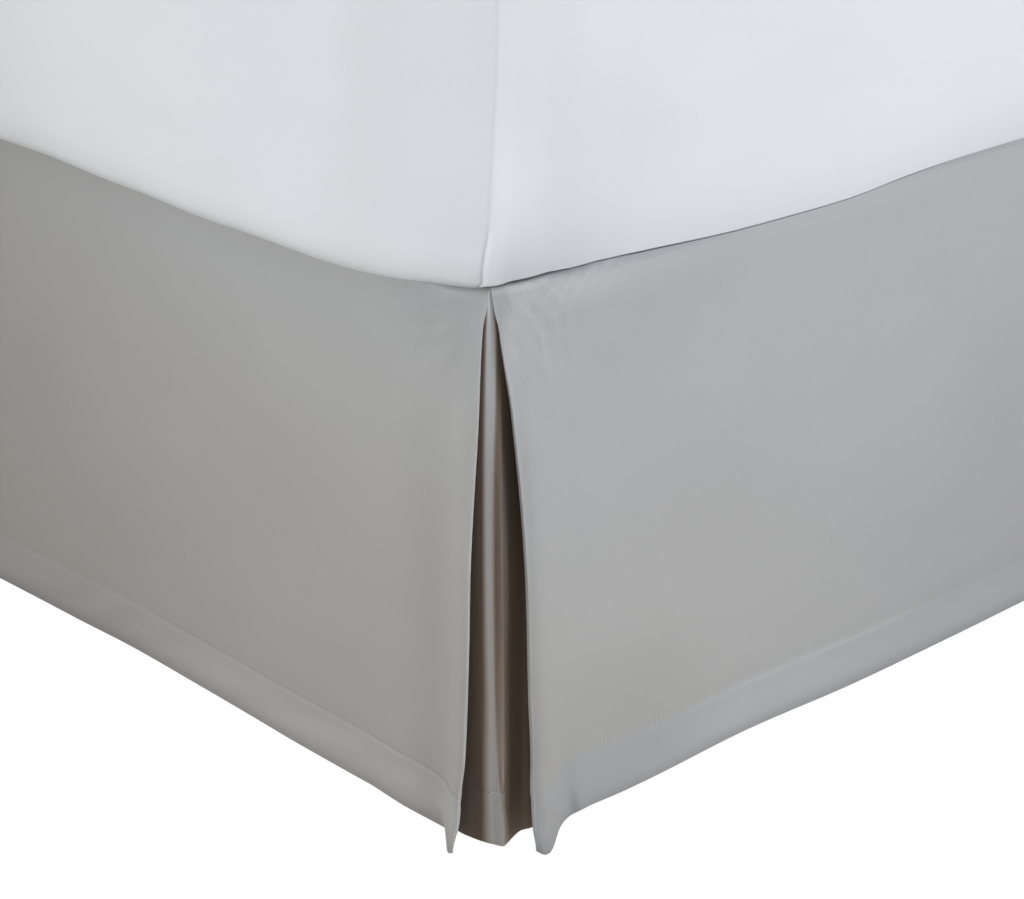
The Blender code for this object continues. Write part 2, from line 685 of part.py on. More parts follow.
def make_mattress(collection):
    outline = mattress_outline()
    rows = mattress_rows()
    count = len(outline)
    shape = bmesh.new()
    bmesh.ops.create_cone(shape, cap_ends=True, segments=count, radius1=1, radius2=1, depth=1)
    upright = [edge for edge in shape.edges
               if abs(edge.verts[0].co.z - edge.verts[1].co.z) > 0.5]
    bmesh.ops.subdivide_edges(shape, edges=upright, cuts=len(rows) - 2)
    first_angle = min(math.atan2(v.co.y, v.co.x) % (2 * math.pi) for v in shape.verts)
    for vertex in shape.verts:
        turned = math.atan2(vertex.co.y, vertex.co.x) % (2 * math.pi) - first_angle
        spot = outline[round(turned / (2 * math.pi) * count) % count]
        row = rows[round((vertex.co.z + 0.5) * (len(rows) - 1))]
        vertex.co = mattress_point(spot, row)
    add_object(collection, "mattress", shape, "sheet_cloth")


# -------------------------------------------------------------------------- make

bed_skirt = start_empty()
make_base(bed_skirt)
make_legs(bed_skirt)
make_deck(bed_skirt)
make_inserts(bed_skirt)
make_drops(bed_skirt)
make_mattress(bed_skirt)
for made in bed_skirt.objects:
    made.data.shade_smooth()
    made.data.set_sharp_from_angle(angle=math.radians(40))
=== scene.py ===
# %% [markdown]
# # A tailored bed skirt, hung on its bed
#
# A bed skirt hides the base of a bed. A plain deck lies under the mattress, and
# three flat panels hang from it: one across the foot and one down each long side.
# At each foot corner the panels meet in a split, with a separate insert behind it
# so that nothing of the base shows through. This lesson dresses a frame of plain
# solids: each soft piece is modelled again with its folds, hems and stitches.
#
# The frame gives every piece its place, so it is loaded first. The cloth is worked
# out in millimetres, and MM turns them into metres where a mesh is made.

# %% Load the frame
import math
from collections import namedtuple

import bpy
import numpy as np
from mathutils import Matrix, Vector


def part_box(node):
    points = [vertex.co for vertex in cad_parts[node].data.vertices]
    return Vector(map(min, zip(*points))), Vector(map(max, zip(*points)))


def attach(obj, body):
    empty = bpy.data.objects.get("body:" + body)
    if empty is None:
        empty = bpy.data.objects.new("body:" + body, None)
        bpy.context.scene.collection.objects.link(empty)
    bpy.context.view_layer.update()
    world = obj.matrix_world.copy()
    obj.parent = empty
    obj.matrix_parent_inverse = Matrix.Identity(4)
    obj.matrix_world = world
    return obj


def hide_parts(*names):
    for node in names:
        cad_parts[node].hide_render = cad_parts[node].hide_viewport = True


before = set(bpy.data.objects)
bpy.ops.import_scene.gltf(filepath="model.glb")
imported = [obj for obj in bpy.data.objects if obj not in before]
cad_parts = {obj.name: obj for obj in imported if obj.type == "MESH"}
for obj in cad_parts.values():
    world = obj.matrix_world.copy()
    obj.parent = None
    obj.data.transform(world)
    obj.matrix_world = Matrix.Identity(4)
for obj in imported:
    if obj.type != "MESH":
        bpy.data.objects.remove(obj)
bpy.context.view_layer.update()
MM = 0.001

# %% [markdown]
# ## Camera
#
# The camera stands off the foot corner, a little above the bed, and looks down at
# the split. A long lens keeps the two hems nearly straight. It is turned to its
# heading first, then tilted down, then rolled by a hair about its own axis.

# %% The camera
CAMERA_PLACE = (1.934, -2.062, 0.934)
CAMERA_HEADING = 47.71   # degrees, anticlockwise from +Y
CAMERA_DOWN = 22.23
CAMERA_ROLL = -0.40
LENS = 97.37             # mm, on a 36 mm sensor

camera = bpy.data.objects.new("camera", bpy.data.cameras.new("camera"))
camera.data.lens = LENS
camera.data.sensor_width = 36
camera.location = CAMERA_PLACE
turn = Matrix.Rotation(math.radians(CAMERA_HEADING), 3, "Z")
tilt = Matrix.Rotation(math.radians(90 - CAMERA_DOWN), 3, "X")
roll = Matrix.Rotation(math.radians(CAMERA_ROLL), 3, "Z")
camera.rotation_euler = (turn @ tilt @ roll).to_euler()
bpy.context.scene.collection.objects.link(camera)
bpy.context.scene.camera = camera
print("camera at", tuple(camera.location), "lens", LENS)

# %% [markdown]
# ## Shader helpers
#
# Cloth is mostly fine, faint variation, which takes sums of many small terms. One
# small class wraps a socket so that a sum can be written as Python writes it, and
# each operator adds its Math node. Every other node comes from one method.

# %% A socket that can be added and multiplied
class Wire:
    """A number that varies over a surface."""

    def __init__(self, finish, socket):
        self.finish = finish
        self.socket = socket

    def maths(self, operation, first, second):
        made = self.finish.node("ShaderNodeMath", {"operation": operation}, {0: first, 1: second})
        return Wire(self.finish, made.outputs[0])

    def __add__(self, other):
        return self.maths("ADD", self, other)

    def __sub__(self, other):
        return self.maths("SUBTRACT", self, other)

    def __rsub__(self, other):
        return self.maths("SUBTRACT", other, self)

    def __mul__(self, other):
        return self.maths("MULTIPLY", self, other)

    __radd__ = __add__
    __rmul__ = __mul__


# %% A finish that grows node by node
class Finish:
    """A material on one Principled shader, built up from nodes."""

    def __init__(self, name, **constants):
        self.material = bpy.data.materials.new(name)
        self.material.use_nodes = True
        self.tree = self.material.node_tree
        self.shader = self.tree.nodes["Principled BSDF"]
        for socket, value in constants.items():
            name = socket.replace("_", " ").title().replace("Ior", "IOR")
            self.shader.inputs[name].default_value = value

    def node(self, kind, settings, sockets):
        made = self.tree.nodes.new(kind)
        for name, value in settings.items():
            if name == "stops":
                for _ in value[2:]:
                    made.color_ramp.elements.new(0.5)
                for stop, (place, colour) in zip(made.color_ramp.elements, value):
                    stop.position = place
                    stop.color = (*colour, 1)
            else:
                setattr(made, name, value)
        for name, value in sockets.items():
            if isinstance(value, Wire):
                self.tree.links.new(value.socket, made.inputs[name])
            elif isinstance(value, bpy.types.NodeSocket):
                self.tree.links.new(value, made.inputs[name])
            else:
                made.inputs[name].default_value = value
        return made

    def cloth_place(self, along_scale, down_scale):
        """The cloth's own map in metres, scaled along it and down it."""
        uv = self.node("ShaderNodeUVMap", {"uv_map": "UVMap"}, {})
        scaled = self.node("ShaderNodeMapping", {}, {
            "Vector": uv.outputs[0], "Scale": (along_scale, down_scale, 1)})
        return scaled.outputs[0]

    def object_place(self, scale):
        spot = self.node("ShaderNodeTexCoord", {}, {})
        scaled = self.node("ShaderNodeMapping", {}, {"Vector": spot.outputs["Object"], "Scale": scale})
        return scaled.outputs[0]

    def noise(self, place, scale, detail=2.0, rough=0.5):
        made = self.node("ShaderNodeTexNoise", {}, {
            "Vector": place, "Scale": scale, "Detail": detail, "Roughness": rough})
        return Wire(self, made.outputs[0])

    def threads(self, place, direction, scale):
        made = self.node("ShaderNodeTexWave", {"bands_direction": direction, "wave_profile": "SIN"}, {
            "Vector": place, "Scale": scale, "Distortion": 0.6, "Detail": 1.0})
        return Wire(self, made.outputs["Fac"])

    def ramp(self, share, *stops):
        """A colour read off stops of (place, colour)."""
        made = self.node("ShaderNodeValToRGB", {"stops": stops}, {"Fac": share})
        return made.outputs[0]

    def blend(self, share, first, second):
        made = self.node("ShaderNodeMix", {"data_type": "RGBA"}, {0: share, 6: first, 7: second})
        return made.outputs[2]

    def colour(self, value):
        self.tree.links.new(value, self.shader.inputs["Base Color"])

    def attribute(self, name):
        made = self.node("ShaderNodeAttribute", {"attribute_name": name}, {})
        return Wire(self, made.outputs["Fac"])

    def toned(self, value):
        """A colour made lighter or darker by the painted light and shade of its sheet."""
        shaded = self.node("ShaderNodeVectorMath", {"operation": "SCALE"}, {
            0: value, "Scale": self.attribute("sewn_tone") + 1.0})
        return shaded.outputs[0]

    def warmed(self, value, tint):
        """A colour tinted by its warmth, a painted warm light: it takes the tint where its warmth is 1, and
        loses as much of it at -1.
        """
        warm = self.node("ShaderNodeVectorMath", {"operation": "MULTIPLY"}, {0: value, 1: tint})
        cool = self.node("ShaderNodeVectorMath", {"operation": "DIVIDE"}, {0: value, 1: tint})
        share = self.attribute("warmth") * 0.5 + 0.5
        return self.blend(share, cool.outputs[0], warm.outputs[0])

    def roughness(self, value):
        self.tree.links.new(value.socket, self.shader.inputs["Roughness"])

    def bump(self, height, depth, strength=1.0):
        """A height of 0 to 1 over the surface, worth this depth in metres."""
        made = self.node("ShaderNodeBump", {}, {
            "Height": height, "Distance": depth, "Strength": strength})
        self.tree.links.new(made.outputs[0], self.shader.inputs["Normal"])
        return made

    def bump_over(self, fine, height, depth):
        """A slow relief added to a fine one."""
        self.tree.links.new(fine.outputs[0], self.bump(height, depth).inputs["Normal"])


print("helpers ready")

# %% [markdown]
# ## Sateen
#
# The panels are grey cotton sateen. Its face is mostly warp threads that float over
# four weft threads, so it is smooth, with a soft sheen and no weave that shows from
# a step away. The finish has the float of the warp and the cross of the weft as a
# very shallow bump, threads that run a shade lighter or darker, and slow, faint
# unevenness from washing. Sheen gives the cloth its soft bright edge.

# %% The sateen's finish
WARM_TINT = (1.027, 1.0, 0.944)


def sateen(name, light, dark, roughness, sheen):
    made = Finish(name, roughness=roughness, sheen_weight=sheen, sheen_roughness=0.45,
                  specular_ior_level=0.35)
    slubs = made.noise(made.cloth_place(1, 0.06), 900, 2.0)
    cross_slubs = made.noise(made.cloth_place(0.05, 1), 700, 1.0)
    wash = made.noise(made.cloth_place(1, 1.6), 5.5, 3.0, 0.55)
    share = wash * 0.55 + slubs * 0.30 + cross_slubs * 0.15
    plain = made.ramp(share, (0.30, dark), (0.70, light))
    # The plain colour is scaled by the painted light and shade of each sheet, and tinted by its warmth: a
    # painted warm light near the floor.
    made.colour(made.warmed(made.toned(plain), WARM_TINT))
    made.roughness(slubs * 0.10 + wash * 0.08 + (roughness - 0.09))
    warp = made.threads(made.cloth_place(1, 0.04), "X", 420)
    weft = made.threads(made.cloth_place(0.04, 1), "Y", 330)
    made.bump(warp * 0.5 + weft * 0.3 + slubs * 0.2, 0.05 * MM, 0.7)
    return made


SKIRT_LIGHT = (0.445, 0.447, 0.446)
SKIRT_DARK = (0.405, 0.406, 0.403)
skirt_cloth = sateen("skirt_sateen", SKIRT_LIGHT, SKIRT_DARK, 0.52, 0.18).material
print("finish", skirt_cloth.name)

# %% [markdown]
# ## Reading the shape tables
#
# How a free edge hangs is written as short tables: at this height, the edge is so
# far from the corner and swings out so much. The rows are few, and a smooth curve
# is drawn through them, so no level shows as a kink. The function reads a whole
# array of places at once, which keeps fine meshes quick to make.

# %% Smooth table reader
def read_pairs(pairs, places):
    """A smooth curve through pairs of (place, value), read at many places."""
    knots, values = np.array(sorted(pairs), dtype=float).T
    before = np.maximum(np.arange(len(knots)) - 1, 0)
    after = np.minimum(np.arange(len(knots)) + 1, len(knots) - 1)
    slopes = (values[after] - values[before]) / (knots[after] - knots[before])
    places = np.clip(places, knots[0], knots[-1])
    index = np.clip(np.searchsorted(knots, places, side="right") - 1, 0, len(knots) - 2)
    step = knots[index + 1] - knots[index]
    t = (places - knots[index]) / step
    return (values[index] * (1 + 2 * t) * (1 - t) ** 2
            + slopes[index] * step * t * (1 - t) ** 2
            + values[index + 1] * t ** 2 * (3 - 2 * t)
            - slopes[index + 1] * step * t ** 2 * (1 - t))


def read_column(rows, column, heights):
    """A column of a table that has one row for each height."""
    return read_pairs([(row.height, getattr(row, column)) for row in rows], heights)


def fade(value, start, end):
    """0 before start, 1 after end, and a soft rise between them."""
    t = np.clip((value - start) / (end - start), 0, 1)
    return t * t * (3 - 2 * t)


def fall(value, start, end):
    """1 before start, 0 after end."""
    return 1 - fade(value, start, end)


def between(value, rise_from, rise_to, fall_from, fall_to):
    """1 between a soft rise and a soft fall."""
    return fade(value, rise_from, rise_to) * fall(value, fall_from, fall_to)


def ridge(value, middle, half_width):
    """A soft ridge of height 1 about the middle."""
    return np.exp(-((value - middle) / half_width) ** 2)


# %% Driving sizes of the bed and the cloth, in millimetres
BED_WIDTH = 1524
BED_LENGTH = 2032
CORNER_RADIUS = 38       # of the base under the turned cloth
CLOTH = 1.5              # thickness
HEM_CLOTH = 2.4          # thickness where it is doubled
HEM_DEPTH = 42
HEM_STEP = 0.5           # how far the turned hem stands out
SIDE_HEM = 11.5
HEM_HEIGHT = 8           # off the floor
TURN_RADIUS = 8          # where the cloth turns over the base
TURN_TOP = 391.2
HANG_TOP = TURN_TOP - TURN_RADIUS
HANG = HANG_TOP - HEM_HEIGHT
HEM_SHARE = 1 - HEM_DEPTH / HANG
HEM_STEP_SHARE = 0.003   # of the drop, on each side of the hem's upper edge
CORNER_REACH = 122       # how far from a corner the cloth swings
print(f"drop of {HANG:.0f} mm from the turn to the hem")

# %% [markdown]
# ## How the free edges hang
#
# One row for each level of a panel's free edge: the height, how far the edge is
# from the sharp corner of the bed, how far it swings outwards (negative where it
# follows the rounded corner of the base), how far from the corner the bend begins,
# and how abruptly it bends. The first row is the cloth turned over the base, where
# the two edges of a split nearly meet. The two edges of a split aren't alike: the
# foot panel's lower corner flicks out in a sharp point, and the side panel's rolls
# into a soft lobe.

# %% Free edges at the splits and at the head
EdgeLevel = namedtuple("EdgeLevel", "height edge swing bend_from bend_power")

FOOT_DROP_AT_SPLIT = [EdgeLevel(*row) for row in (
    (391.2, 9.9, -12.3, 38, 2.1), (386, 9.9, -12, 38, 2.1), (383.2, 11, -11.2, 38, 2.1),
    (377, 11.8, -8.9, 40, 2.1), (366, 11.8, -7.1, 42, 2.1), (347, 11.3, -4, 48, 2.1),
    (310, 10.1, 0, 62, 2.2), (217, 12.4, 6.5, 80, 2.2), (148, 13.4, 8.6, 85, 2.2),
    (75, 16, 11, 88, 2.4), (57, 18, 12.3, 78, 2.2), (30, 19.7, 13, 58, 1.6),
    (8, 24.5, 16.5, 44, 0.65),
)]

SIDE_DROP_AT_SPLIT = [EdgeLevel(*row) for row in (
    (391.2, 12.8, -9.2, 38, 2.1), (386, 12.8, -9, 38, 2.1), (383.2, 13.3, -8.8, 38, 2.1),
    (370, 14.8, -6.2, 41, 2.1), (352, 15.9, -3.2, 46, 2), (309, 19.4, 2.8, 62, 2),
    (213, 25.1, 8, 80, 2), (116, 25.5, 11, 82, 2), (73, 26.2, 12, 82, 2), (24, 25.2, 9.8, 80, 2),
    (8, 25.7, 8.8, 80, 2),
)]

SIDE_DROP_AT_HEAD = [EdgeLevel(*row) for row in (
    (391.2, 7, 0, 70, 2), (383.2, 7, 0, 70, 2), (200, 8, 1.5, 80, 2), (8, 11, 5, 90, 2),
)]

# How much longer the cloth hangs near a free corner than along the hem.

FOOT_HEM_DIPS = [
    (24.5, 3.6), (27.5, 5.6), (31, 6.2), (34, 4.6), (38, 2.6), (44, 1.6), (58, 1.6), (90, 2),
    (122, 0),
]

SIDE_HEM_DIPS = [
    (25, 2.4), (31, 6.4), (37, 7.2), (44, 6.6), (54, 4.6), (68, 0.2), (78, -0.4), (90, -1.1),
    (104, -0.5), (122, 0),
]

HEAD_HEM_DIPS = [(10, 1), (60, 0)]

# The soft lobe that the side drop's lower corner rolls into.

LOBE_ALONG = 35
LOBE_HALVES = (20, 31)   # its half widths, towards the corner and away from it
LOBE_SWING = 10.5
LOBE_TOP = 62
LOBE_GROWTH = 1.6

# Slow waves of the drops, as how far the hem stands out at places along them.
# They grow from nothing at the top.

WAVE_GROWTH = 1.3

FOOT_WAVES = [
    (0, 0), (200, 0), (258, -1.5), (320, -2.8), (410, -4), (470, -1.9), (510, -0.9), (650, 2),
    (800, -2.5), (950, -4.5), (1110, 1.5), (1300, -1.5), (1524, 0),
]

SIDE_WAVES = [
    (0, 0), (145, 0.5), (245, -2.7), (352, 1.5), (466, 1), (600, -1), (780, 2.5), (980, -3.5),
    (1190, 3), (1400, -2), (1600, 2.5), (1820, -2.5), (2032, 0),
]
print("tables of", len(FOOT_DROP_AT_SPLIT), "and", len(SIDE_DROP_AT_SPLIT), "levels at a split")

# %% [markdown]
# ## The hanging panels
#
# Each panel is one length of cloth: it lies a little way over the base, turns over
# its edge and hangs to the hem. The sheet is worked out as rows of points, from the
# turned edge down, and columns that follow the free edges, so that the narrow side
# hems run along them. A grid is then moved to those points.
#
# The cloth is modelled twice: first the slow shape, then a relief along the cloth's
# own normal for what sewing does to it. A stitched hem pulls the face in at the
# stitch line, puffs it on both sides, and rolls the bottom edge under.

# %% Rows and columns of a panel
def spaced(*runs):
    """Places from 0 up, as runs of (end, pitch), each end kept."""
    places = [0.0]
    for end, pitch in runs:
        steps = max(1, round((end - places[-1]) / pitch))
        first = places[-1]
        places += [first + (end - first) * i / steps for i in range(1, steps + 1)]
    return np.array(places)


TURN_STEPS = [75, 60, 45, 30, 15]   # degrees round the turned edge, from above
FLAT_INSETS = [28, 22, 16, 11, 8]
turned_rows = [(inset, TURN_TOP) for inset in FLAT_INSETS]
turned_rows += [(TURN_RADIUS * (1 - math.cos(math.radians(a))),
                 HANG_TOP + TURN_RADIUS * math.sin(math.radians(a))) for a in TURN_STEPS]
hang_shares = spaced((66, 1.7), (HANG - 52, 7), (HANG - 36, 0.9), (HANG - 6, 2.2), (HANG, 0.9)) / HANG

# How far down the cloth each row is from where it starts to hang, negative above.
down_rows = [TURN_RADIUS * (1 - math.pi / 2) - inset for inset in FLAT_INSETS]
down_rows += [-TURN_RADIUS * math.radians(a) for a in TURN_STEPS]
down_rows = np.concatenate([down_rows, hang_shares * HANG])[:, None]

FAR_OFF = 1000.0         # past the reach of any fold
EDGE_WIDTH = 105         # of the cloth that bends towards a free edge
EDGE_COLUMNS = spaced((15, 1.0), (EDGE_WIDTH, 2.4)) / EDGE_WIDTH
PUCKERED_COLUMNS = spaced((EDGE_WIDTH, 1.05)) / EDGE_WIDTH
HEAD_EDGE_COLUMNS = spaced((15, 1.5), (EDGE_WIDTH, 9)) / EDGE_WIDTH
print(len(turned_rows) + len(hang_shares), "rows,", len(EDGE_COLUMNS), "columns at a split")


# %% One end of a panel
class PanelEnd(namedtuple("PanelEnd", "levels dips columns at_split lobe")):
    """How a panel hangs near one of its free edges."""

    def outline(self, height):
        """The turned cloth follows the base's rounded corner: along, out and turn."""
        edge = read_column(self.levels, "edge", np.array([height]))
        along = edge + (CORNER_REACH - edge) * self.columns
        if not self.at_split:
            return along, 0 * along, 0 * along
        turned = np.arcsin(np.clip((CORNER_RADIUS - along) / CORNER_RADIUS, 0, 1))
        return along, -CORNER_RADIUS * (1 - np.cos(turned)), turned

    def section(self):
        """The hanging cloth, rows down by columns along: along, out and dip."""
        height = (HANG_TOP - hang_shares * HANG)[:, None]
        edge, swing, bend_from, power = (
            read_column(self.levels, column, height) for column in EdgeLevel._fields[1:])
        along = edge + (CORNER_REACH - edge) * self.columns
        bent = np.maximum(0, (bend_from - along) / (bend_from - edge))
        out = swing * bent ** power
        if self.at_split:
            hanging = fade(hang_shares, 0, 0.05)[:, None]
            out = self.outline(HANG_TOP)[1] * (1 - hanging) + out * hanging
        if self.lobe:
            rise = np.clip((LOBE_TOP - height) / (LOBE_TOP - HEM_HEIGHT), 0, 1) ** LOBE_GROWTH
            half = np.where(along < LOBE_ALONG, *LOBE_HALVES)
            across = np.clip((along - LOBE_ALONG) / half, -1, 1)
            out = out + LOBE_SWING * rise * np.cos(across * math.pi / 2) ** 2
        return along, out, read_pairs(self.dips, along)


FLICKED_END = PanelEnd(FOOT_DROP_AT_SPLIT, FOOT_HEM_DIPS, EDGE_COLUMNS, at_split=True, lobe=False)
LOBED_END = PanelEnd(SIDE_DROP_AT_SPLIT, SIDE_HEM_DIPS, PUCKERED_COLUMNS, at_split=True, lobe=True)
HEAD_END = PanelEnd(SIDE_DROP_AT_HEAD, HEAD_HEM_DIPS, HEAD_EDGE_COLUMNS, at_split=False, lobe=False)
print("an end has", len(EDGE_COLUMNS), "columns")

# %% [markdown]
# ## What sewing does to the cloth
#
# Every length here is measured on the cloth: `up` from the hem, `below` from the
# turned edge, `off` from a free edge, and `stitch` up from the stitch line. That
# line is a narrow groove between two puffs. Near a corner the hem's feed was
# uneven, so short puckers stand across the line, and soft drag folds fan out from
# the top of the split, where the two panels are sewn together.

# %% The relief of the hems
PUCKER_PITCH = 4.3
PUCKERED = (48, 70, 125, 155)       # where puckers rise and where they die away
TUCK_PITCH = 12.5
STITCH_HEIGHT = HEM_DEPTH - 1.6


def edge_rise(distance, reach, power=2):
    """1 at an edge, down to 0 at its reach."""
    return np.clip(1 - distance / reach, 0, 1) ** power


def hem_drag(up, off, height):
    """Faint slanting folds in the doubled cloth of a hem."""
    drag = np.sin((off + up * 2.6) / 13 + 2 * np.sin(off / 61))
    drag = drag * np.sin(off / 83 + 1.3 + up / 17)
    return height * drag * between(up, 2, 14, 28, 42)


def bottom_hem(up, off):
    """A groove at the stitch line, its two puffs, a belly and a rolled edge."""
    stitch = up - STITCH_HEIGHT
    groove = -0.22 * ridge(stitch, 0, 0.9)
    puffs = 0.10 * ridge(stitch, 3.4, 2.6) + 0.30 * ridge(stitch, -3.6, 2.8)
    belly = 0.4 * ridge(up, 23, 11)
    return groove + puffs + belly - 1.1 * edge_rise(up, 9) + hem_drag(up, off, 0.25)


def side_hem(off):
    """A narrow hem down a free edge, stitched blind."""
    return 0.14 * ridge(off, SIDE_HEM - 5, 3.2) - 0.45 * edge_rise(off, 3)


def hems(up, near, far, shift=0):
    """The hems of a whole panel; the shift gives its drag folds other places."""
    return bottom_hem(up, near + shift) + side_hem(near) + side_hem(far)


# %% Folds and puckers by a split
def stitch_puckers(up, off, height):
    """Short creases that stand across the stitch line, over part of its length."""
    wander = 1.9 * np.sin(off / 17) + 0.8 * np.sin(off / 6.1)
    wave = np.sin(off * 2 * math.pi / PUCKER_PITCH + wander)
    uneven = 0.70 + 0.30 * np.sin(off / 5.3 + 1.9 * np.sin(off / 19))
    stitch = up - STITCH_HEIGHT
    reach = ridge(stitch, 2, 3.8 + 1.8 * uneven) * fade(stitch, -4, 1)
    return height * np.clip(wave, -0.3, 1) * uneven * between(off, *PUCKERED) * reach


def lobe_folds(up, off, height):
    """One soft upright fold where a side drop's corner rolls into its lobe."""
    fold = ridge(off, 12, 6) * fall(up, 30, 90) + 0.5 * ridge(off, 24, 12)
    valley = ridge(off, 52 - 0.12 * up, 7) * fall(up, 20, 75)
    streaks = 0.18 * np.sin(off / 0.9 + 1.6 * np.sin(up / 13)) * ridge(off, 20, 12)
    return height * (fold + streaks - 1.1 * valley) * fall(up, 40, 120)


def drag_folds(off, below, height):
    """Soft, uneven folds that fan out and down from the top of the split."""
    distance = np.hypot(off, below)
    angle = np.arctan2(below, off)
    sway = 1.3 * np.sin(distance / 23 + angle * 2.1)
    fan = 0.55 * np.sin(angle * 9 + sway + 0.6)
    fan = fan + 0.45 * np.sin(angle * 17 - sway * 1.7 + distance / 19)
    patches = 0.55 + 0.45 * np.sin(distance / 13 - angle * 3.3 + 1.0)
    return height * fan * patches * between(distance, 14, 36, 55, 150)


def crumple(off, below, height):
    """Short, slanting creases in patches beside the top of the split."""
    across = off - 0.40 * below
    along = below + 0.40 * off
    creases = np.sin(across / 0.82 + 2.3 * np.sin(along / 7.3) + 1.6 * np.sin(across / 4.9))
    soft = np.sin(across / 2.1 + 1.9 * np.sin(along / 9.7 + 0.8))
    patches = np.sin(across / 5.7 + 1.7 * np.sin(along / 8.9))
    patches = patches * np.sin(along / 6.7 + 1.3 * np.sin(across / 8.3))
    reach = fade(off, 2, 9) * fall(np.hypot(off, below * 0.8), 32, 82)
    return height * (0.6 * creases * patches + 0.65 * soft * (0.5 + 0.5 * patches)) * reach


def top_puckers(off, below, height):
    """Small tucks where the cloth is gathered into the seam at the top."""
    wander = 1.4 * np.sin(off / 23 + 0.7) + 0.7 * np.sin(off / 9)
    wave = np.sin((off + below * 0.75) * 2 * math.pi / TUCK_PITCH + wander)
    along_seam = between(off, 14, 32, 80, 125)
    return height * np.clip(wave, -0.2, 1) * along_seam * edge_rise(below, 24, 1.5)


print("puckers", PUCKER_PITCH, "mm apart")

# %% [markdown]
# ## Painted light and shade
#
# Folds this fine are also seen as light and dark, more than their height alone
# gives under soft light. So each panel carries painted light and shade, as a tone
# that is a share of its colour, and a warmth: a painted warm light near the floor,
# and cooler where the cloth is doubled.

# %% The painted light and shade of a panel
HEM_COOLNESS = 0.56


def edge_tone(up, near, far):
    """Painted shade along the rolled bottom edge and down the free edges, with a painted highlight on the
    rim.
    """
    tone = -0.16 * edge_rise(up, 11, 1.3)
    for off in (near, far):
        strip = fall(off, SIDE_HEM - 5, SIDE_HEM + 5) * fall(up, HANG - 90, HANG - 20)
        rolled = ridge(off, 2.6, 2.4) * fall(up, 120, 240)
        tone = tone - 0.055 * strip - 0.07 * rolled + 0.08 * ridge(off, 0, 1.4)
    return tone


def foot_corner_tone(up, off):
    """Painted shade where the foot drop turns a little away from the light towards its split, with its
    stitch line, hem band and folds painted lighter and darker.
    """
    stitch = up - STITCH_HEIGHT
    below = HANG - up
    away = fade(off, 320, 400)
    line = 0.05 * ridge(stitch, -1.8, 1.5) - 0.08 * ridge(stitch, 0.7, 1.2)
    line = line * (1 - away) + 0.05 * ridge(stitch, -1.2, 1.8) * away
    band = 0.06 * ridge(up, 24, 12) * fall(off, 280, 370) - 0.07 * fall(up, 8, 34) * fade(off, 330, 430)
    turned = -0.11 * ridge(off, 38, 24) * (fall(up, 190, 340) + 0.4 * fall(up, 30, 90))
    turned = turned - 0.035 * fade(up, 120, 270)
    shaded_patch = -0.05 * ridge(off, 34, 22) * ridge(below, 26, 26)
    folds = drag_folds(off, below, 0.045) + crumple(off, below, 0.025) + hem_drag(up, off, 0.035)
    return line + band + turned + shaded_patch + folds


def side_corner_tone(up, off):
    """A painted highlight on the ridge at the side drop's stitches, and painted softer light and shade by
    its lobe, notch, folds and puckers.
    """
    stitch = up - STITCH_HEIGHT
    below = HANG - up
    along = fade(off, 130, 210)
    shine = 0.04 * fade(off, 55, 120) + 0.05 * along + 0.04 * ridge(off, 330, 70)
    line = shine * (1 - 0.7 * fade(off, 370, 440)) * ridge(stitch, -0.9, 2.2)
    line = line - 0.06 * fade(off, 385, 430) * ridge(stitch, 0.4, 1.3)
    band = along * (0.05 * ridge(up, 21, 11) - 0.03 * ridge(stitch, 6, 5) - 0.05 * fall(up, 3, 13))
    turned = -0.085 * fall(off, 90, 230) * fall(up, 50, 140)
    turned = turned - 0.07 * fall(off, 4, 26) * fall(up, 210, 330)
    folds = drag_folds(off, below, 0.05) + top_puckers(off, below, 0.05) + crumple(off, below, 0.07)
    puckers = stitch_puckers(up, off, 0.08)
    knot = np.sin((off + up) / 0.9) * np.sin((off - 1.4 * up) / 1.3)
    puckers = puckers + 0.06 * knot * ridge(off, 64, 10) * ridge(up, 38, 7)
    notch = -0.17 * ridge(off, 54.5 - 0.25 * up, 4.2) * ridge(up, 9, 9)
    lobe = lobe_folds(up, off, 0.06) + notch
    return line + band + turned + folds + puckers + lobe + under_sheet(off, below)


def under_sheet(off, below):
    """Painted light that the white sheet throws on the turned edge under it."""
    near = fall(off, 25, 55)
    strength = 0.60 + 0.35 * fade(off, 62, 95) + 0.5 * near
    bright = strength * np.clip((-below - 2.5) / 5.5, 0, 1.2) ** 1.2
    soft = 0.13 * fall(below, 0, 24) * (1 - 0.75 * near)
    slow = 0.06 * fade(off, 90, 260) * fall(below, 30, 250)
    return (bright + soft) * fall(off, 330, 480) + slow


def drop_warmth(below, off, most, reach):
    """A drop takes a painted warm light towards the floor, and is cooler where its hem is doubled."""
    warm = most * fade(below, -40, 260) * fall(off, reach * 0.2, reach)
    return warm - HEM_COOLNESS * fade(below, HANG - HEM_DEPTH, HANG - HEM_DEPTH + 3)


print("the hem is cooler by", HEM_COOLNESS)

# %% [markdown]
# ## A grid becomes cloth
#
# A flat grid has the same number of rows and columns as the table of points, and
# each of its points is moved to its place. The cloth's own map is kept in metres,
# so that the weave runs with the cloth. Solidify then gives the thickness inwards,
# a little more in the hem group, and a small bevel turns the cut edges into folds.

# %% Making the sheet
def clear_selection():
    if bpy.context.object and bpy.context.object.mode != "OBJECT":
        bpy.ops.object.mode_set(mode="OBJECT")
    bpy.ops.object.select_all(action="DESELECT")


def select_only(thing):
    clear_selection()
    thing.select_set(True)
    bpy.context.view_layer.objects.active = thing


def paint(thing, material):
    thing.data.materials.clear()
    thing.data.materials.append(material)


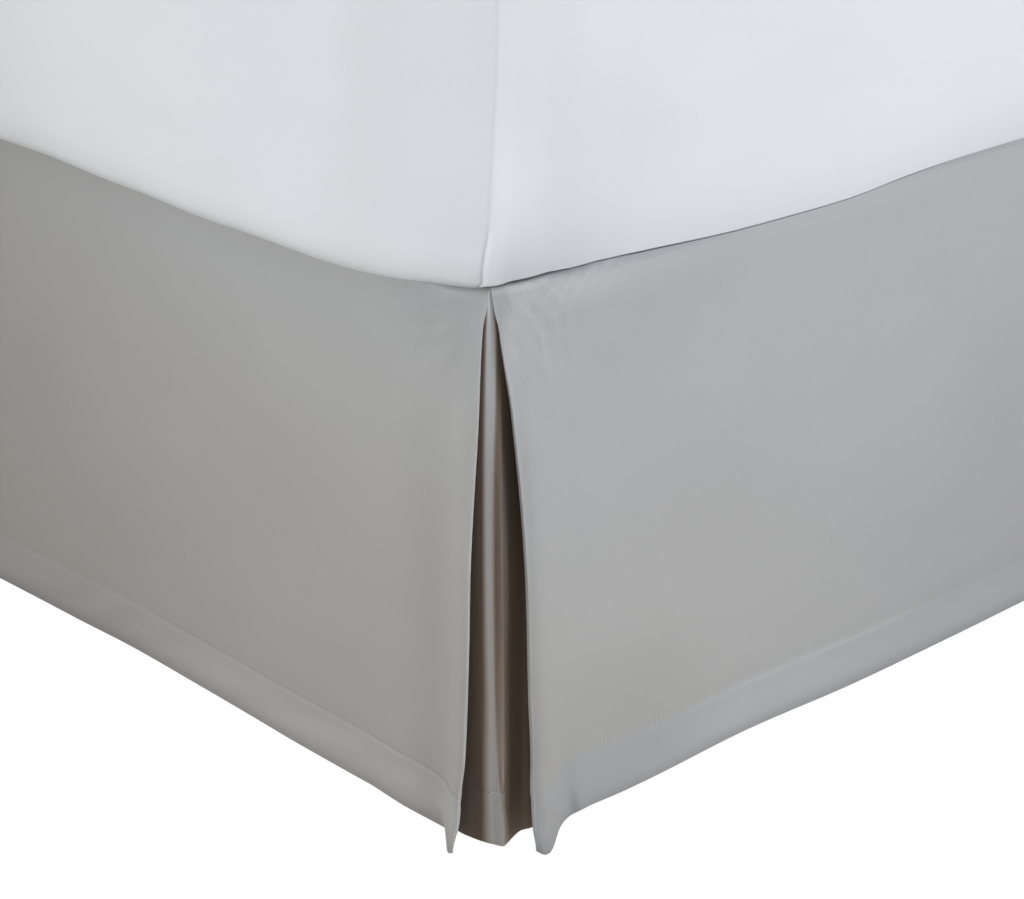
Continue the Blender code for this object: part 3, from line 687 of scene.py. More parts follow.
def close_shell(gap):
    """Merge what lies closer than the gap, fill the ends and face it outwards."""
    bpy.ops.mesh.select_all(action="SELECT")
    bpy.ops.mesh.remove_doubles(threshold=gap * MM)
    bpy.ops.mesh.fill_holes(sides=0)
    bpy.ops.mesh.select_all(action="SELECT")
    bpy.ops.mesh.normals_make_consistent(inside=False)
    bpy.ops.object.mode_set(mode="OBJECT")


def apply_modifiers(thing):
    select_only(thing)
    for modifier in list(thing.modifiers):
        bpy.ops.object.modifier_apply(modifier=modifier.name)


def surface_normals(points, outward):
    """A unit normal at each point of a table of points, on its outer side."""
    normal = np.cross(np.gradient(points, axis=1), np.gradient(points, axis=0))
    normal = normal / np.maximum(np.linalg.norm(normal, axis=2, keepdims=True), 1e-12)
    middle = normal[len(points) // 2, points.shape[1] // 2]
    return -normal if middle.dot(outward) < 0 else normal


def grid_sheet(name, points, places, outward):
    """A grid moved to a table of points, faced outwards, with its map in metres."""
    rows, columns = points.shape[:2]
    clear_selection()
    bpy.ops.mesh.primitive_grid_add(x_subdivisions=columns - 1, y_subdivisions=rows - 1, size=1)
    thing = bpy.context.object
    thing.name = name
    mesh = thing.data
    mesh.name = name
    flat = np.empty(len(mesh.vertices) * 3)
    mesh.vertices.foreach_get("co", flat)
    flat = flat.reshape(-1, 3)
    column = np.rint((flat[:, 0] + 0.5) * (columns - 1)).astype(int)
    row = np.rint((flat[:, 1] + 0.5) * (rows - 1)).astype(int)
    mesh.vertices.foreach_set("co", (points * MM)[row, column].ravel())
    corners = np.empty(len(mesh.loops), dtype=int)
    mesh.loops.foreach_get("vertex_index", corners)
    mesh.uv_layers[0].name = "UVMap"
    mesh.uv_layers[0].data.foreach_set("uv", (places * MM)[row, column][corners].ravel())
    mesh.update()
    if sum(face.normal.dot(Vector(outward)) for face in mesh.polygons) < 0:
        mesh.flip_normals()
    return thing, row, column


def set_values(thing, name, values):
    """A number kept at each point of a sheet, for its finish to read."""
    kept = thing.data.attributes.new(name, "FLOAT", "POINT")
    kept.data.foreach_set("value", np.ascontiguousarray(values, dtype=np.float32))


def thicken(thing, thickness, thin_share, in_hem):
    """Solidify inwards; in_hem lists the points where the cloth is doubled."""
    hem = thing.vertex_groups.new(name="hem")
    hem.add([int(i) for i in in_hem], 1.0, "REPLACE")
    solid = thing.modifiers.new("cloth", "SOLIDIFY")
    solid.thickness = thickness * MM
    solid.offset = -1
    solid.vertex_group = "hem"
    solid.thickness_vertex_group = thin_share
    edge = thing.modifiers.new("folded edge", "BEVEL")
    edge.width = 0.5 * MM
    edge.segments = 2
    edge.limit_method = "ANGLE"
    edge.angle_limit = math.radians(65)
    apply_modifiers(thing)
    bpy.ops.object.shade_smooth()
    print(thing.name, len(thing.data.polygons), "faces")
    return thing


# %% The columns of a panel
def across(near, middle, far):
    """The near end, the middle and the mirrored far end, side by side."""
    return np.concatenate([near[..., :-1], middle, far[..., ::-1][..., 1:]], axis=-1)


FINE_PITCH = 1.1
COARSE_PITCH = 12


def panel_middle(length, fine_near, fine_far):
    """Places between the two ends, close together where the stitching puckers."""
    span = length - 2 * CORNER_REACH
    near, far = (spaced((run, FINE_PITCH)) if run else np.zeros(1) for run in (fine_near, fine_far))
    steps = round((span - fine_near - fine_far) / COARSE_PITCH)
    coarse = np.linspace(fine_near, span - fine_far, steps + 1)
    return across(near, coarse, span - far)


# %% One panel
class Panel:
    """A hanging panel, run along one face of the bed from a corner."""

    def __init__(self, start, run, outward, length, waves, near_end, far_end, fine):
        self.start = np.array(start)
        self.run = np.array(run)
        self.outward = np.array(outward)
        self.length = length
        self.waves = waves
        self.ends = (near_end, far_end)
        self.middle = CORNER_REACH + panel_middle(length, *fine)

    def place(self, along, out, height):
        along, out, height = np.broadcast_arrays(along, out, height)
        flat = self.start + along[..., None] * self.run + out[..., None] * self.outward
        return flat + height[..., None] * np.array((0, 0, 1))

    def turned(self):
        """The rows that lie over the base and turn over its edge."""
        rows = []
        for inset, height in turned_rows:
            ends = []
            for end in self.ends:
                along, out, turned = end.outline(height)
                ends.append((along + inset * np.sin(turned), out - inset * np.cos(turned)))
            (near, near_out), (far, far_out) = ends
            out = across(near_out, 0 * self.middle - inset, far_out)
            rows.append(self.place(across(near, self.middle, self.length - far), out, height))
        return np.array(rows)

    def hanging(self):
        """The rows that hang, and how far along the panel their points are."""
        down = hang_shares[:, None]
        middle = np.broadcast_to(self.middle, (len(down), len(self.middle)))
        (near, near_out, near_dip), (far, far_out, far_dip) = (end.section() for end in self.ends)
        along = across(near, middle, self.length - far)
        out = across(near_out, 0 * middle, far_out) + read_pairs(self.waves, along) * down ** WAVE_GROWTH
        out = out + HEM_STEP * fade(down, HEM_SHARE - HEM_STEP_SHARE, HEM_SHARE + HEM_STEP_SHARE)
        dip = across(near_dip, 0 * middle, far_dip)
        return self.place(along, out, HANG_TOP - down * (HANG + dip)), along

    def distances(self):
        """How far each column is from the near edge and from the far edge."""
        near, far = (end.columns * EDGE_WIDTH for end in self.ends)
        inner = self.middle - CORNER_REACH
        from_near = across(near, near[-1] + inner, np.full(len(far), FAR_OFF))
        from_far = across(np.full(len(near), FAR_OFF), far[-1] + inner[-1] - inner, far)
        return from_near[None, :], from_far[None, :]

    def build(self, name, relief, tone, warmth):
        """The finished sheet, with the relief raised along its own normal."""
        hanging, along = self.hanging()
        slow = np.concatenate([self.turned(), hanging])
        self.normals = surface_normals(slow, self.outward)
        near, far = self.distances()
        up = HANG - down_rows
        height = relief(up, near, far) * fade(down_rows, -9, -3)
        self.points = slow + self.normals * height[..., None]
        places = np.stack(np.broadcast_arrays(along[-1][None, :], down_rows), axis=2)
        thing, row, column = grid_sheet(name, self.points, places, self.outward)
        down = down_rows[row, 0]
        doubled = (down > HANG - HEM_DEPTH) | (near[0, column] < SIDE_HEM) | (far[0, column] < SIDE_HEM)
        # The painted light and shade of the panel, kept for its finish to scale the colour by.
        shade = edge_tone(up, near, far) + tone(up, near, far)
        set_values(thing, "sewn_tone", shade[row, column])
        set_values(thing, "warmth", warmth(down_rows, near)[row, column])
        return thicken(thing, HEM_CLOTH, CLOTH / HEM_CLOTH, np.flatnonzero(doubled & (down > 0)))


print("panel class ready")

# %% [markdown]
# ## Three panels
#
# The foot panel and the right side panel share the corner that faces the camera.
# The left side mirrors that corner's two edges, with the tables changed over: no
# two corners of a real skirt hang the same.

# %% The foot panel
FINE_RUN = 55            # of finer columns, past an end where the hem puckers


def bed_corner(x_side, y_side):
    return (x_side * BED_WIDTH / 2, y_side * BED_LENGTH / 2, 0)


def foot_relief(up, near, far):
    below = HANG - up
    return (hems(up, near, far) + stitch_puckers(up, far, 0.40)
            + drag_folds(near, below, 0.35) + drag_folds(far, below, 0.6)
            + top_puckers(near, below, 0.20) + top_puckers(far, below, 0.6))


foot = Panel(bed_corner(1, -1), (-1, 0, 0), (0, -1, 0), BED_WIDTH, FOOT_WAVES,
             FLICKED_END, LOBED_END, fine=(0, FINE_RUN))
foot_panel = foot.build(
    "foot_panel_cloth", foot_relief,
    tone=lambda up, near, far: foot_corner_tone(up, near) + side_corner_tone(up, far),
    warmth=lambda below, near: drop_warmth(below, near, most=1.0, reach=4000))


# %% The side panels
def side_relief(up, near, far):
    return (hems(up, near, far) + stitch_puckers(up, near, 0.55) + lobe_folds(up, near, 0.5)
            + drag_folds(near, HANG - up, 0.6) + top_puckers(near, HANG - up, 0.6))


def left_side_relief(up, near, far):
    return (hems(up, near, far, shift=40)
            + drag_folds(near, HANG - up, 0.25) + top_puckers(near, HANG - up, 0.2))


def right_warmth(below, near):
    """The right side also has the painted cooler light of its box towards the top."""
    return drop_warmth(below, near, most=0.56, reach=500) - 0.28 * fall(below, 60, 280)


right = Panel(bed_corner(1, -1), (0, 1, 0), (1, 0, 0), BED_LENGTH, SIDE_WAVES,
              LOBED_END, HEAD_END, fine=(FINE_RUN, 0))
side_panel_right = right.build(
    "side_panel_right_cloth", side_relief,
    tone=lambda up, near, far: side_corner_tone(up, near), warmth=right_warmth)
left = Panel(bed_corner(-1, -1), (0, 1, 0), (-1, 0, 0), BED_LENGTH, SIDE_WAVES,
             FLICKED_END, HEAD_END, fine=(0, 0))
side_panel_left = left.build(
    "side_panel_left_cloth", left_side_relief,
    tone=lambda up, near, far: foot_corner_tone(up, near),
    warmth=lambda below, near: drop_warmth(below, near, most=0.38, reach=1000))

# %% [markdown]
# ## Stitches
#
# A hem is held by a row of small lock stitches in a matching thread. One stitch is
# modelled, a short rod with its ends pressed into the cloth. An Array repeats it
# along the length of a path and a Curve modifier bends the row to the path, which
# is read off the finished cloth in the bottom of its groove.

# %% One stitch, and a row of them
STITCH_LENGTH = 1.9
STITCH_PITCH = 3.0
THREAD_RADIUS = 0.24
THREAD_PROUD = 0.06      # of the cloth


def one_stitch(name):
    """A short rod along X whose ends dip into the cloth."""
    clear_selection()
    bpy.ops.mesh.primitive_cylinder_add(
        vertices=6, radius=THREAD_RADIUS * MM, depth=STITCH_LENGTH * 0.6 * MM, rotation=(0, math.pi / 2, 0))
    stitch = bpy.context.object
    stitch.name = name
    bpy.ops.object.transform_apply(location=False, rotation=True, scale=True)
    bpy.ops.object.mode_set(mode="EDIT")
    for side in (-1, 1):
        bpy.ops.mesh.select_all(action="DESELECT")
        bpy.ops.object.mode_set(mode="OBJECT")
        for face in stitch.data.polygons:
            face.select = face.normal.x * side > 0.9
        bpy.ops.object.mode_set(mode="EDIT")
        bpy.ops.mesh.extrude_region_move(
            TRANSFORM_OT_translate={"value": (side * STITCH_LENGTH * 0.2 * MM, 0, 0)})
        bpy.ops.transform.resize(value=(1, 0.45, 0.45))
    bpy.ops.object.mode_set(mode="OBJECT")
    return stitch


def sew_along(name, path_points):
    """A row of stitches along a path of points."""
    line = bpy.data.curves.new(name + "_path", "CURVE")
    line.dimensions = "3D"
    spline = line.splines.new("POLY")
    spline.points.add(len(path_points) - 1)
    for point, place in zip(spline.points, path_points):
        point.co = (*(place * MM), 1)
    path = bpy.data.objects.new(name + "_path", line)
    bpy.context.scene.collection.objects.link(path)
    stitch = one_stitch(name)
    row = stitch.modifiers.new("row", "ARRAY")
    row.fit_type = "FIT_CURVE"
    row.curve = path
    row.use_relative_offset = False
    row.use_constant_offset = True
    row.constant_offset_displace = (STITCH_PITCH * MM, 0, 0)
    follow = stitch.modifiers.new("follow", "CURVE")
    follow.object = path
    follow.deform_axis = "POS_X"
    apply_modifiers(stitch)
    bpy.data.objects.remove(path)
    return stitch


def join_stitches(name, rows, material):
    clear_selection()
    for row in rows:
        row.select_set(True)
    bpy.context.view_layer.objects.active = rows[0]
    bpy.ops.object.join()
    thing = bpy.context.object
    thing.name = name
    bpy.ops.object.shade_smooth()
    paint(thing, material)
    print(name, len(thing.data.polygons), "faces")
    return thing


# %% Thread, and the hem lines of the panels
def thread_finish(name, colour):
    made = Finish(name, roughness=0.5, sheen_weight=0.2)
    fibre = made.noise(made.object_place((1, 1, 1)), 2500, 1.0)
    dark = tuple(channel * 0.82 for channel in colour)
    made.colour(made.ramp(fibre, (0.3, dark), (0.7, colour)))
    made.bump(fibre, 0.05 * MM)
    return made.material


skirt_thread = thread_finish("skirt_thread", (0.47, 0.47, 0.48))


def panel_stitches(name, panel, start=SIDE_HEM * 0.2, end=SIDE_HEM * 0.2):
    """Stitches along a panel's bottom hem, which may be sewn blind near a corner."""
    lifted = panel.points + panel.normals * THREAD_PROUD
    from_near, from_far = panel.distances()
    hem_row = np.abs(down_rows[:, 0] - (HANG - STITCH_HEIGHT)).argmin()
    first = np.flatnonzero(from_near[0] > start)[0]
    last = np.flatnonzero(from_far[0] > end)[-1]
    return join_stitches(name, [sew_along("hem_row", lifted[hem_row, first:last])], skirt_thread)


BLIND_STITCHES = 54      # the run beside a lobe that is sewn blind
foot_stitches = panel_stitches("foot_panel_stitches", foot, end=BLIND_STITCHES)
right_stitches = panel_stitches("side_panel_right_stitches", right, start=BLIND_STITCHES)
left_stitches = panel_stitches("side_panel_left_stitches", left)

# %% The panels take their places
SIDE_WIDTH = 2042
FOOT_WIDTH = 1524
for piece, node, width, stitches in (
        (foot_panel, "foot_panel", FOOT_WIDTH, foot_stitches),
        (side_panel_right, "side_panel_right", SIDE_WIDTH, right_stitches),
        (side_panel_left, "side_panel_left", SIDE_WIDTH, left_stitches)):
    paint(piece, skirt_cloth)
    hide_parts(node)
    for part in (piece, stitches):
        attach(part, "root")
    width * MM

# %% [markdown]
# ## The corner inserts
#
# Behind each split hangs a separate width of the same cloth, sewn to the deck and
# folded round the corner. Two firm creases bound a narrow face that looks out
# through the split: that face catches the light in one long satin band, and its
# flanks fall away into shade. The section below is the insert's lower edge; its
# upper edge follows the rounded corner, and the folds open out on the way down.

# %% The insert's section
INSERT_CLOTH = 1.2       # thickness
INSERT_DOUBLED = 1.35    # the hem's thickness to the cloth's
INSERT_MAP = 14          # of the cloth's own map, to one row of the table of folds
INSERT_TOP = 385
INSERT_DROP = INSERT_TOP - HEM_HEIGHT
INSERT_GAP = 2.5         # between its upper edge and the panels
INSERT_FLARE = 0.7       # how soon the folds open on the way down
INSERT_HEM = 40
INSERT_STITCH = INSERT_HEM - 1.6
InsertFold = namedtuple("InsertFold", "along_foot inward height")

INSERT_FOLDS = [InsertFold(*row) for row in (
    (115, 4.4, 7), (80, 4.4, 7), (56, 4.4, 6.8), (43, 4, 6.5), (34, 4.2, 6.1), (24, 6.2, 5.7),
    (16.6, 8.5, 5.3), (12.4, 13, 3.6), (8.4, 17.5, 2.1), (8.8, 22.5, 2.8), (10.2, 28.2, 4),
    (10.6, 35.5, 6), (7.4, 42, 7), (5.2, 56, 7.2), (4.4, 80, 7.4), (4.4, 115, 7.4),
)]

# Where the lit face of the insert lies, at each height: between which folds its
# light comes up and goes down again, where a dimmer shoulder beside it ends, how
# bright that shoulder is to the face, and how bright the face is.

LitFace = namedtuple("LitFace", "height rise full wane dim end shoulder level")

LIT_FACE = [LitFace(*row) for row in (
    (385, 6.80, 7.00, 7.25, 7.48, 7.75, 0.03, 1.00),
    (372, 6.70, 6.95, 7.40, 7.68, 7.88, 0.04, 0.78),
    (360, 6.58, 6.86, 7.58, 7.84, 8.05, 0.07, 0.76),
    (317, 6.25, 6.75, 7.50, 7.80, 8.65, 0.17, 0.68),
    (264, 6.10, 6.60, 7.10, 7.60, 8.75, 0.10, 0.56),
    (208, 6.00, 6.60, 6.95, 7.50, 8.95, 0.085, 0.52),
    (152, 5.90, 6.68, 7.00, 7.50, 8.90, 0.13, 0.50),
    (109, 5.80, 6.85, 7.10, 7.50, 8.90, 0.24, 0.50),
    (64, 5.50, 6.90, 7.30, 7.80, 8.75, 0.41, 0.50),
    (35, 5.55, 6.80, 7.60, 8.30, 8.75, 0.37, 0.49),
    (16, 5.30, 6.95, 7.80, 8.90, 9.60, 0.45, 0.47),
)]
# Both of these are painted: a bright line for a fine crease down the shoulder, and, at the hem, painted
# shade on one gather and a painted highlight on the next.
SECOND_CREASE = 8.2      # a fine bright crease that runs down the shoulder
SEWN_IN = (7.72, 8.08)   # at the hem, a dark gather and a bright one
INSERT_FINE = 8          # columns for each fold of the table
insert_shares = spaced((0.86, 0.018), (0.93, 0.0035), (1.0, 0.012))
print(len(INSERT_FOLDS), "folds in an insert")


# %% The insert's upper edge, its relief and its light
def insert_top_path():
    """The upper edge, inside the panels: straight, round the corner, straight."""
    radius = CORNER_RADIUS - INSERT_GAP
    straight = INSERT_FOLDS[0].along_foot - CORNER_RADIUS
    total = 2 * straight + radius * math.pi / 2
    steps = [math.hypot(b.along_foot - a.along_foot, b.inward - a.inward)
             for a, b in zip(INSERT_FOLDS, INSERT_FOLDS[1:])]
    travelled = total * np.concatenate([[0], np.cumsum(steps)]) / sum(steps)
    angle = np.clip((travelled - straight) / radius, 0, math.pi / 2)
    along = CORNER_RADIUS - radius * np.sin(angle)
    inward = CORNER_RADIUS - radius * np.cos(angle)
    along += np.maximum(0, straight - travelled)
    inward += np.maximum(0, travelled - (total - straight))
    return along, inward


def insert_relief(up, fold):
    """The hem's stitch line with fine puckers above it."""
    stitch = up - INSERT_STITCH
    line = 0.25 * ridge(stitch, -4, 3.5) - 0.4 * ridge(stitch, 0, 1)
    puckers = 0.40 * np.sin(fold * 2 * math.pi * 3.1 + 0.8) * ridge(fold, 7.7, 0.55)
    puckers = puckers * ridge(stitch, 5, 9) * fade(stitch, -2, 3)
    return line + puckers - 0.5 * edge_rise(up, 4)


def insert_light(folds, height):
    """The painted light of an insert, from 0 to 1, by fold and by height, which sets its colour."""
    rise, full, wane, dim, end, shoulder, level = (
        read_column(LIT_FACE, column, height) for column in LitFace._fields[1:])
    risen = fade(folds, rise, full)
    face = np.maximum(risen * fall(folds, wane, dim), shoulder * risen * fall(folds, end - 0.9, end))
    crease = 0.06 * ridge(folds, SECOND_CREASE, 0.13) * between(height, 70, 110, 300, 345)
    lit = level * np.clip(face + crease, 0, 1)
    stitch = height - HEM_HEIGHT - INSERT_STITCH
    gathered = ridge(stitch, 9, 9) * fade(stitch, 0, 3)
    lit = lit * (1 - 0.55 * gathered * ridge(folds, SEWN_IN[0], 0.13))
    lit = lit + 0.16 * gathered * ridge(folds, SEWN_IN[1], 0.11)
    flank = 0.024 + 0.022 * fall(height, 60, 280) + 0.058 * fade(folds, 8.2, 9.4) * fall(height, 120, 330)
    return np.maximum(lit, flank)


# %% Building an insert
def build_insert(name, x_side, outward):
    """The cloth of one insert, and its points, for the stitches to follow."""
    folds = np.linspace(0, len(INSERT_FOLDS) - 1, (len(INSERT_FOLDS) - 1) * INSERT_FINE + 1)
    top_along, top_in, along, inward, height = (
        read_pairs(enumerate(values), folds) for values in (*insert_top_path(), *zip(*INSERT_FOLDS)))
    share = insert_shares[:, None]
    spread = share ** INSERT_FLARE
    along = top_along + (along - top_along) * spread
    inward = top_in + (inward - top_in) * spread
    height = INSERT_TOP - share * (INSERT_TOP - height)
    corner = bed_corner(x_side, -1)
    slow = np.stack([corner[0] - x_side * along, corner[1] + inward, height], axis=2)
    relief = insert_relief(INSERT_DROP * (1 - share), folds)
    points = slow + surface_normals(slow, outward) * relief[..., None]
    places = np.stack(np.broadcast_arrays(folds[None, :] * INSERT_MAP, share * INSERT_DROP), axis=2)
    thing, row, column = grid_sheet(name, points, places, outward)
    # The painted light and shade of the insert, kept for its finish.
    set_values(thing, "lit_face", insert_light(folds, height)[row, column])
    in_hem = np.flatnonzero(share[row, 0] > 1 - INSERT_HEM / INSERT_DROP)
    return thicken(thing, INSERT_CLOTH * INSERT_DOUBLED, 1 / INSERT_DOUBLED, in_hem), points


corner_insert_right, right_insert_points = build_insert("corner_insert_right_cloth", 1, (0.7, -0.7, 0))
corner_insert_left, left_insert_points = build_insert("corner_insert_left_cloth", -1, (-0.7, -0.7, 0))

# %% [markdown]
# The inserts are of the same sateen, but deep in the split they get little light,
# and what they get is warm. That light and shade are painted into the cloth's colour,
# kept as an attribute that follows the folds: dark and brown on the flanks, pale on
# the face between the creases. The face's long highlight is painted too, and a
# glossier sateen adds its own gloss over it.

# %% The insert's finish
INSERT_SHADES = [        # from the deepest shade to the highlight
    (0.0, (0.070, 0.052, 0.038)), (0.096, (0.190, 0.140, 0.100)), (0.50, (0.366, 0.350, 0.331)),
    (0.80, (0.606, 0.616, 0.624)), (1.0, (0.90, 0.90, 0.90)),
]


def insert_finish():
    made = Finish("insert_sateen", roughness=0.42, sheen_weight=0.10, sheen_roughness=0.4,
                  specular_ior_level=0.55)
    slubs = made.noise(made.cloth_place(1, 0.05), 800, 2.0)
    streaks = made.noise(made.cloth_place(1, 0.02), 330, 1.0)
    share = made.attribute("lit_face") + streaks * 0.04 + slubs * 0.025 - 0.032
    made.colour(made.ramp(share, *INSERT_SHADES))
    made.roughness(slubs * 0.10 + 0.36)
    warp = made.threads(made.cloth_place(1, 0.04), "X", 420)
    made.bump(warp * 0.6 + slubs * 0.4, 0.05 * MM, 0.7)
    return made.material


insert_cloth = insert_finish()
# The insert's thread comes in two painted copies: a lit one for the stitches on the lit face, and a shaded
# one for those on the flanks.
lit_insert_thread = thread_finish("lit_insert_thread", (0.55, 0.55, 0.66))
shaded_thread = thread_finish("shaded_thread", (0.085, 0.070, 0.060))
LIT_STITCHES = slice(round(6.9 * INSERT_FINE), round(8.9 * INSERT_FINE))   # on the face that shows
stitch_row = np.abs(insert_shares - 1 + INSERT_STITCH / INSERT_DROP).argmin()
for piece, node, points in (
        (corner_insert_right, "corner_insert_right", right_insert_points),
        (corner_insert_left, "corner_insert_left", left_insert_points)):
    paint(piece, insert_cloth)
    sewn = points[stitch_row]
    lit = [sew_along("insert_row", sewn[LIT_STITCHES])]
    stitches = join_stitches(node + "_stitches", lit, lit_insert_thread)
    flanks = [sew_along("insert_row", sewn[:LIT_STITCHES.start + 1]),
              sew_along("insert_row", sewn[LIT_STITCHES.stop - 1:])]
    flank_stitches = join_stitches(node + "_flank_stitches", flanks, shaded_thread)
    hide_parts(node)
    for part in (piece, stitches, flank_stitches):
        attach(part, "root")
    print(piece.name, "replaces", node)

# %% [markdown]
# ## The deck
#
# The deck is the plain cloth that lies between base and mattress and carries the
# panels. Only its edge at the head end shows. It is a thin flat sheet with the
# slightest ripple, cut from a cheaper, coarser cloth than the panels.

# %% The deck
DECK_LOW, DECK_HIGH = (Vector(corner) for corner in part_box("skirt_deck"))
DECK_CLOTH = 1.2         # thickness
DECK_RIPPLE = 0.12
DECK_SUNK = 0.15         # so that no ripple stands past the box
deck_x, deck_y = np.meshgrid(np.linspace(DECK_LOW.x, DECK_HIGH.x, 90),
                             np.linspace(DECK_HIGH.y, DECK_LOW.y, 120))
ripple = DECK_RIPPLE * MM * np.sin(deck_x * 17 + np.sin(deck_y * 9)) * np.sin(deck_y * 13)
deck_points = np.stack([deck_x, deck_y, DECK_HIGH.z - DECK_SUNK * MM + ripple], axis=2)
deck_places = np.stack([deck_x, deck_y], axis=2)
deck = grid_sheet("skirt_deck_cloth", deck_points / MM, deck_places / MM, (0, 0, 1))[0]
thicken(deck, DECK_CLOTH, 1.0, [])


def plain_weave(name, light, dark, roughness, scale, depth):
    """A matte plain weave: warp and weft of the same weight."""
    made = Finish(name, roughness=roughness, sheen_weight=0.12, specular_ior_level=0.25)
    place = made.cloth_place(1, 1)
    warp = made.threads(place, "X", scale)
    weft = made.threads(place, "Y", scale)
    unevenness = made.noise(place, 45, 4.0, 0.6)
    crossing = warp * weft
    made.colour(made.ramp(unevenness * 0.7 + crossing * 0.3, (0.25, dark), (0.75, light)))
    made.roughness(unevenness * 0.12 + (roughness - 0.06))
    made.bump(warp * 0.5 + weft * 0.5, depth)
    return made.material


deck_cloth = plain_weave("deck_weave", light=(0.76, 0.755, 0.73), dark=(0.68, 0.675, 0.65),
                         roughness=0.82, scale=222.82349, depth=0.10 * MM)
paint(deck, deck_cloth)
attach(deck, "root")
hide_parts("skirt_deck")

# %% [markdown]
# ## The mattress in its fitted sheet
#
# A white fitted sheet is drawn tight over the mattress and tucked under it. Its
# lower edge isn't straight: it stands out over the panels between the corners and
# draws in at them, where the darted corner seam pulls. The table says how far that
# edge stands past the panels, along the outline from the middle of the rounded
# corner, negative towards the foot. The seam itself runs a little askew: its table
# gives its place on the outline at heights up the side.

# %% The mattress's tables
MATTRESS_LOWER_EDGE = [
    (-720, 27), (-560, 28), (-472, 24.9), (-412, 23.4), (-346, 27.4), (-286, 28.6), (-225, 32.2),
    (-172, 30.8), (-98, 30.5), (-67, 27), (-33, 21), (0, 21.8), (16, 13.5), (33, 5), (67, 1),
    (95, 4.1), (152, 13.8), (193, 18.5), (239, 20.4), (287, 20.9), (346, 13.8), (405, 9.5),
    (487, 8.3), (640, 16), (830, 11), (1000, 18),
]

CORNER_SEAM = [
    (0, -3.8), (5, -3.9), (12, -2.2), (25, -0.8), (38, 0.9), (64, 2.6), (91, 3.7), (145, 5.9),
    (260, 7.2),
]

MATTRESS_UNDERSIDE = TURN_TOP + 0.4
MATTRESS_HEIGHT = 260
MATTRESS_CORNER = 85     # radius in plan, less the overhang
SIDE_OVERHANG = 31       # past the base, at half height
END_OVERHANG = 42
SIDE_BOW = 4             # how much fuller a side is at its middle
LOWER_CONTOUR = 9.3      # from the lower edge's table to the full side
LOWER_ROUND = 12
UPPER_ROUND = 36
TIGHT_PLACES = (-40, 12) # the lower round tightens from the foot to the side
TIGHTER = 0.72
DRAWN_IN = 7             # how far the lower edge is drawn under the side
DRAWN_FROM = 36          # the height from which it is drawn in
TOP_CROWN = 6
TOP_REACH = 900          # of the cloth's own map, from the rim to the middle

# How much of the lower edge's wave is left, at heights up the side.
WAVY_EDGE = [(0, 1), (15, 1), (0.30 * MATTRESS_HEIGHT, 0.45), (0.62 * MATTRESS_HEIGHT, 0),
             (MATTRESS_HEIGHT, 0)]
print(len(MATTRESS_LOWER_EDGE), "places on the sheet's lower edge")


# %% The mattress's outline
def mirrored(places):
    return np.concatenate([-places[:0:-1], places])


half_arc = MATTRESS_CORNER * math.pi / 4
arc_places = mirrored(spaced((3, 0.33), (8, 1), (30, 2.6), (half_arc, 5)))
end_places = -half_arc - spaced((70, 6), (BED_WIDTH / 2 - MATTRESS_CORNER, 19))[:0:-1]
side_places = half_arc + spaced((70, 6), (BED_LENGTH / 2 - MATTRESS_CORNER, 21))[1:]
quarter = np.concatenate([end_places, arc_places, side_places])


def outline(places):
    """Points and outward directions of the right foot corner, for an array of places."""
    angle = math.pi / 4 * (1 + np.clip(places / half_arc, -1, 1))
    x = BED_WIDTH / 2 - MATTRESS_CORNER + MATTRESS_CORNER * np.sin(angle)
    x = x + np.minimum(0, places + half_arc)
    y = MATTRESS_CORNER - BED_LENGTH / 2 - MATTRESS_CORNER * np.cos(angle)
    y = y + np.maximum(0, places - half_arc)
    return x, y, np.sin(angle), -np.cos(angle)


print(len(quarter), "columns round each corner")


# %% The mattress's rows, from the underside round to the top
# Each row has its height, how far it is set in from the side, and its share of the
# way in to the middle of the top. Both rounds have the same steps.
TUCKED_UNDER = 40        # of the sheet, under the mattress
RIM = (7, 18, 34)        # on the top, from the end of its round
ROUND = [(1 - math.sin(angle), 1 - math.cos(angle)) for angle in np.linspace(0, math.pi / 2, 9)]
straight = [*np.arange(LOWER_ROUND + 2, 40, 3.5), *np.arange(44, MATTRESS_HEIGHT - UPPER_ROUND - 2, 6)]
mattress_rows = [(0.0, LOWER_ROUND + TUCKED_UNDER, 0.0)]
mattress_rows += [(LOWER_ROUND * up, LOWER_ROUND * inset, 0.0) for up, inset in ROUND[::-1]]
mattress_rows += [(height, 0.0, 0.0) for height in straight]
mattress_rows += [(MATTRESS_HEIGHT - UPPER_ROUND * down, UPPER_ROUND * inset, 0.0) for down, inset in ROUND]
mattress_rows += [(MATTRESS_HEIGHT, UPPER_ROUND + inset, 0.0) for inset in RIM]
mattress_rows += [(MATTRESS_HEIGHT, UPPER_ROUND + RIM[-1], share) for share in np.linspace(0, 0.97, 22)[1:]]
print(len(mattress_rows), "rows")


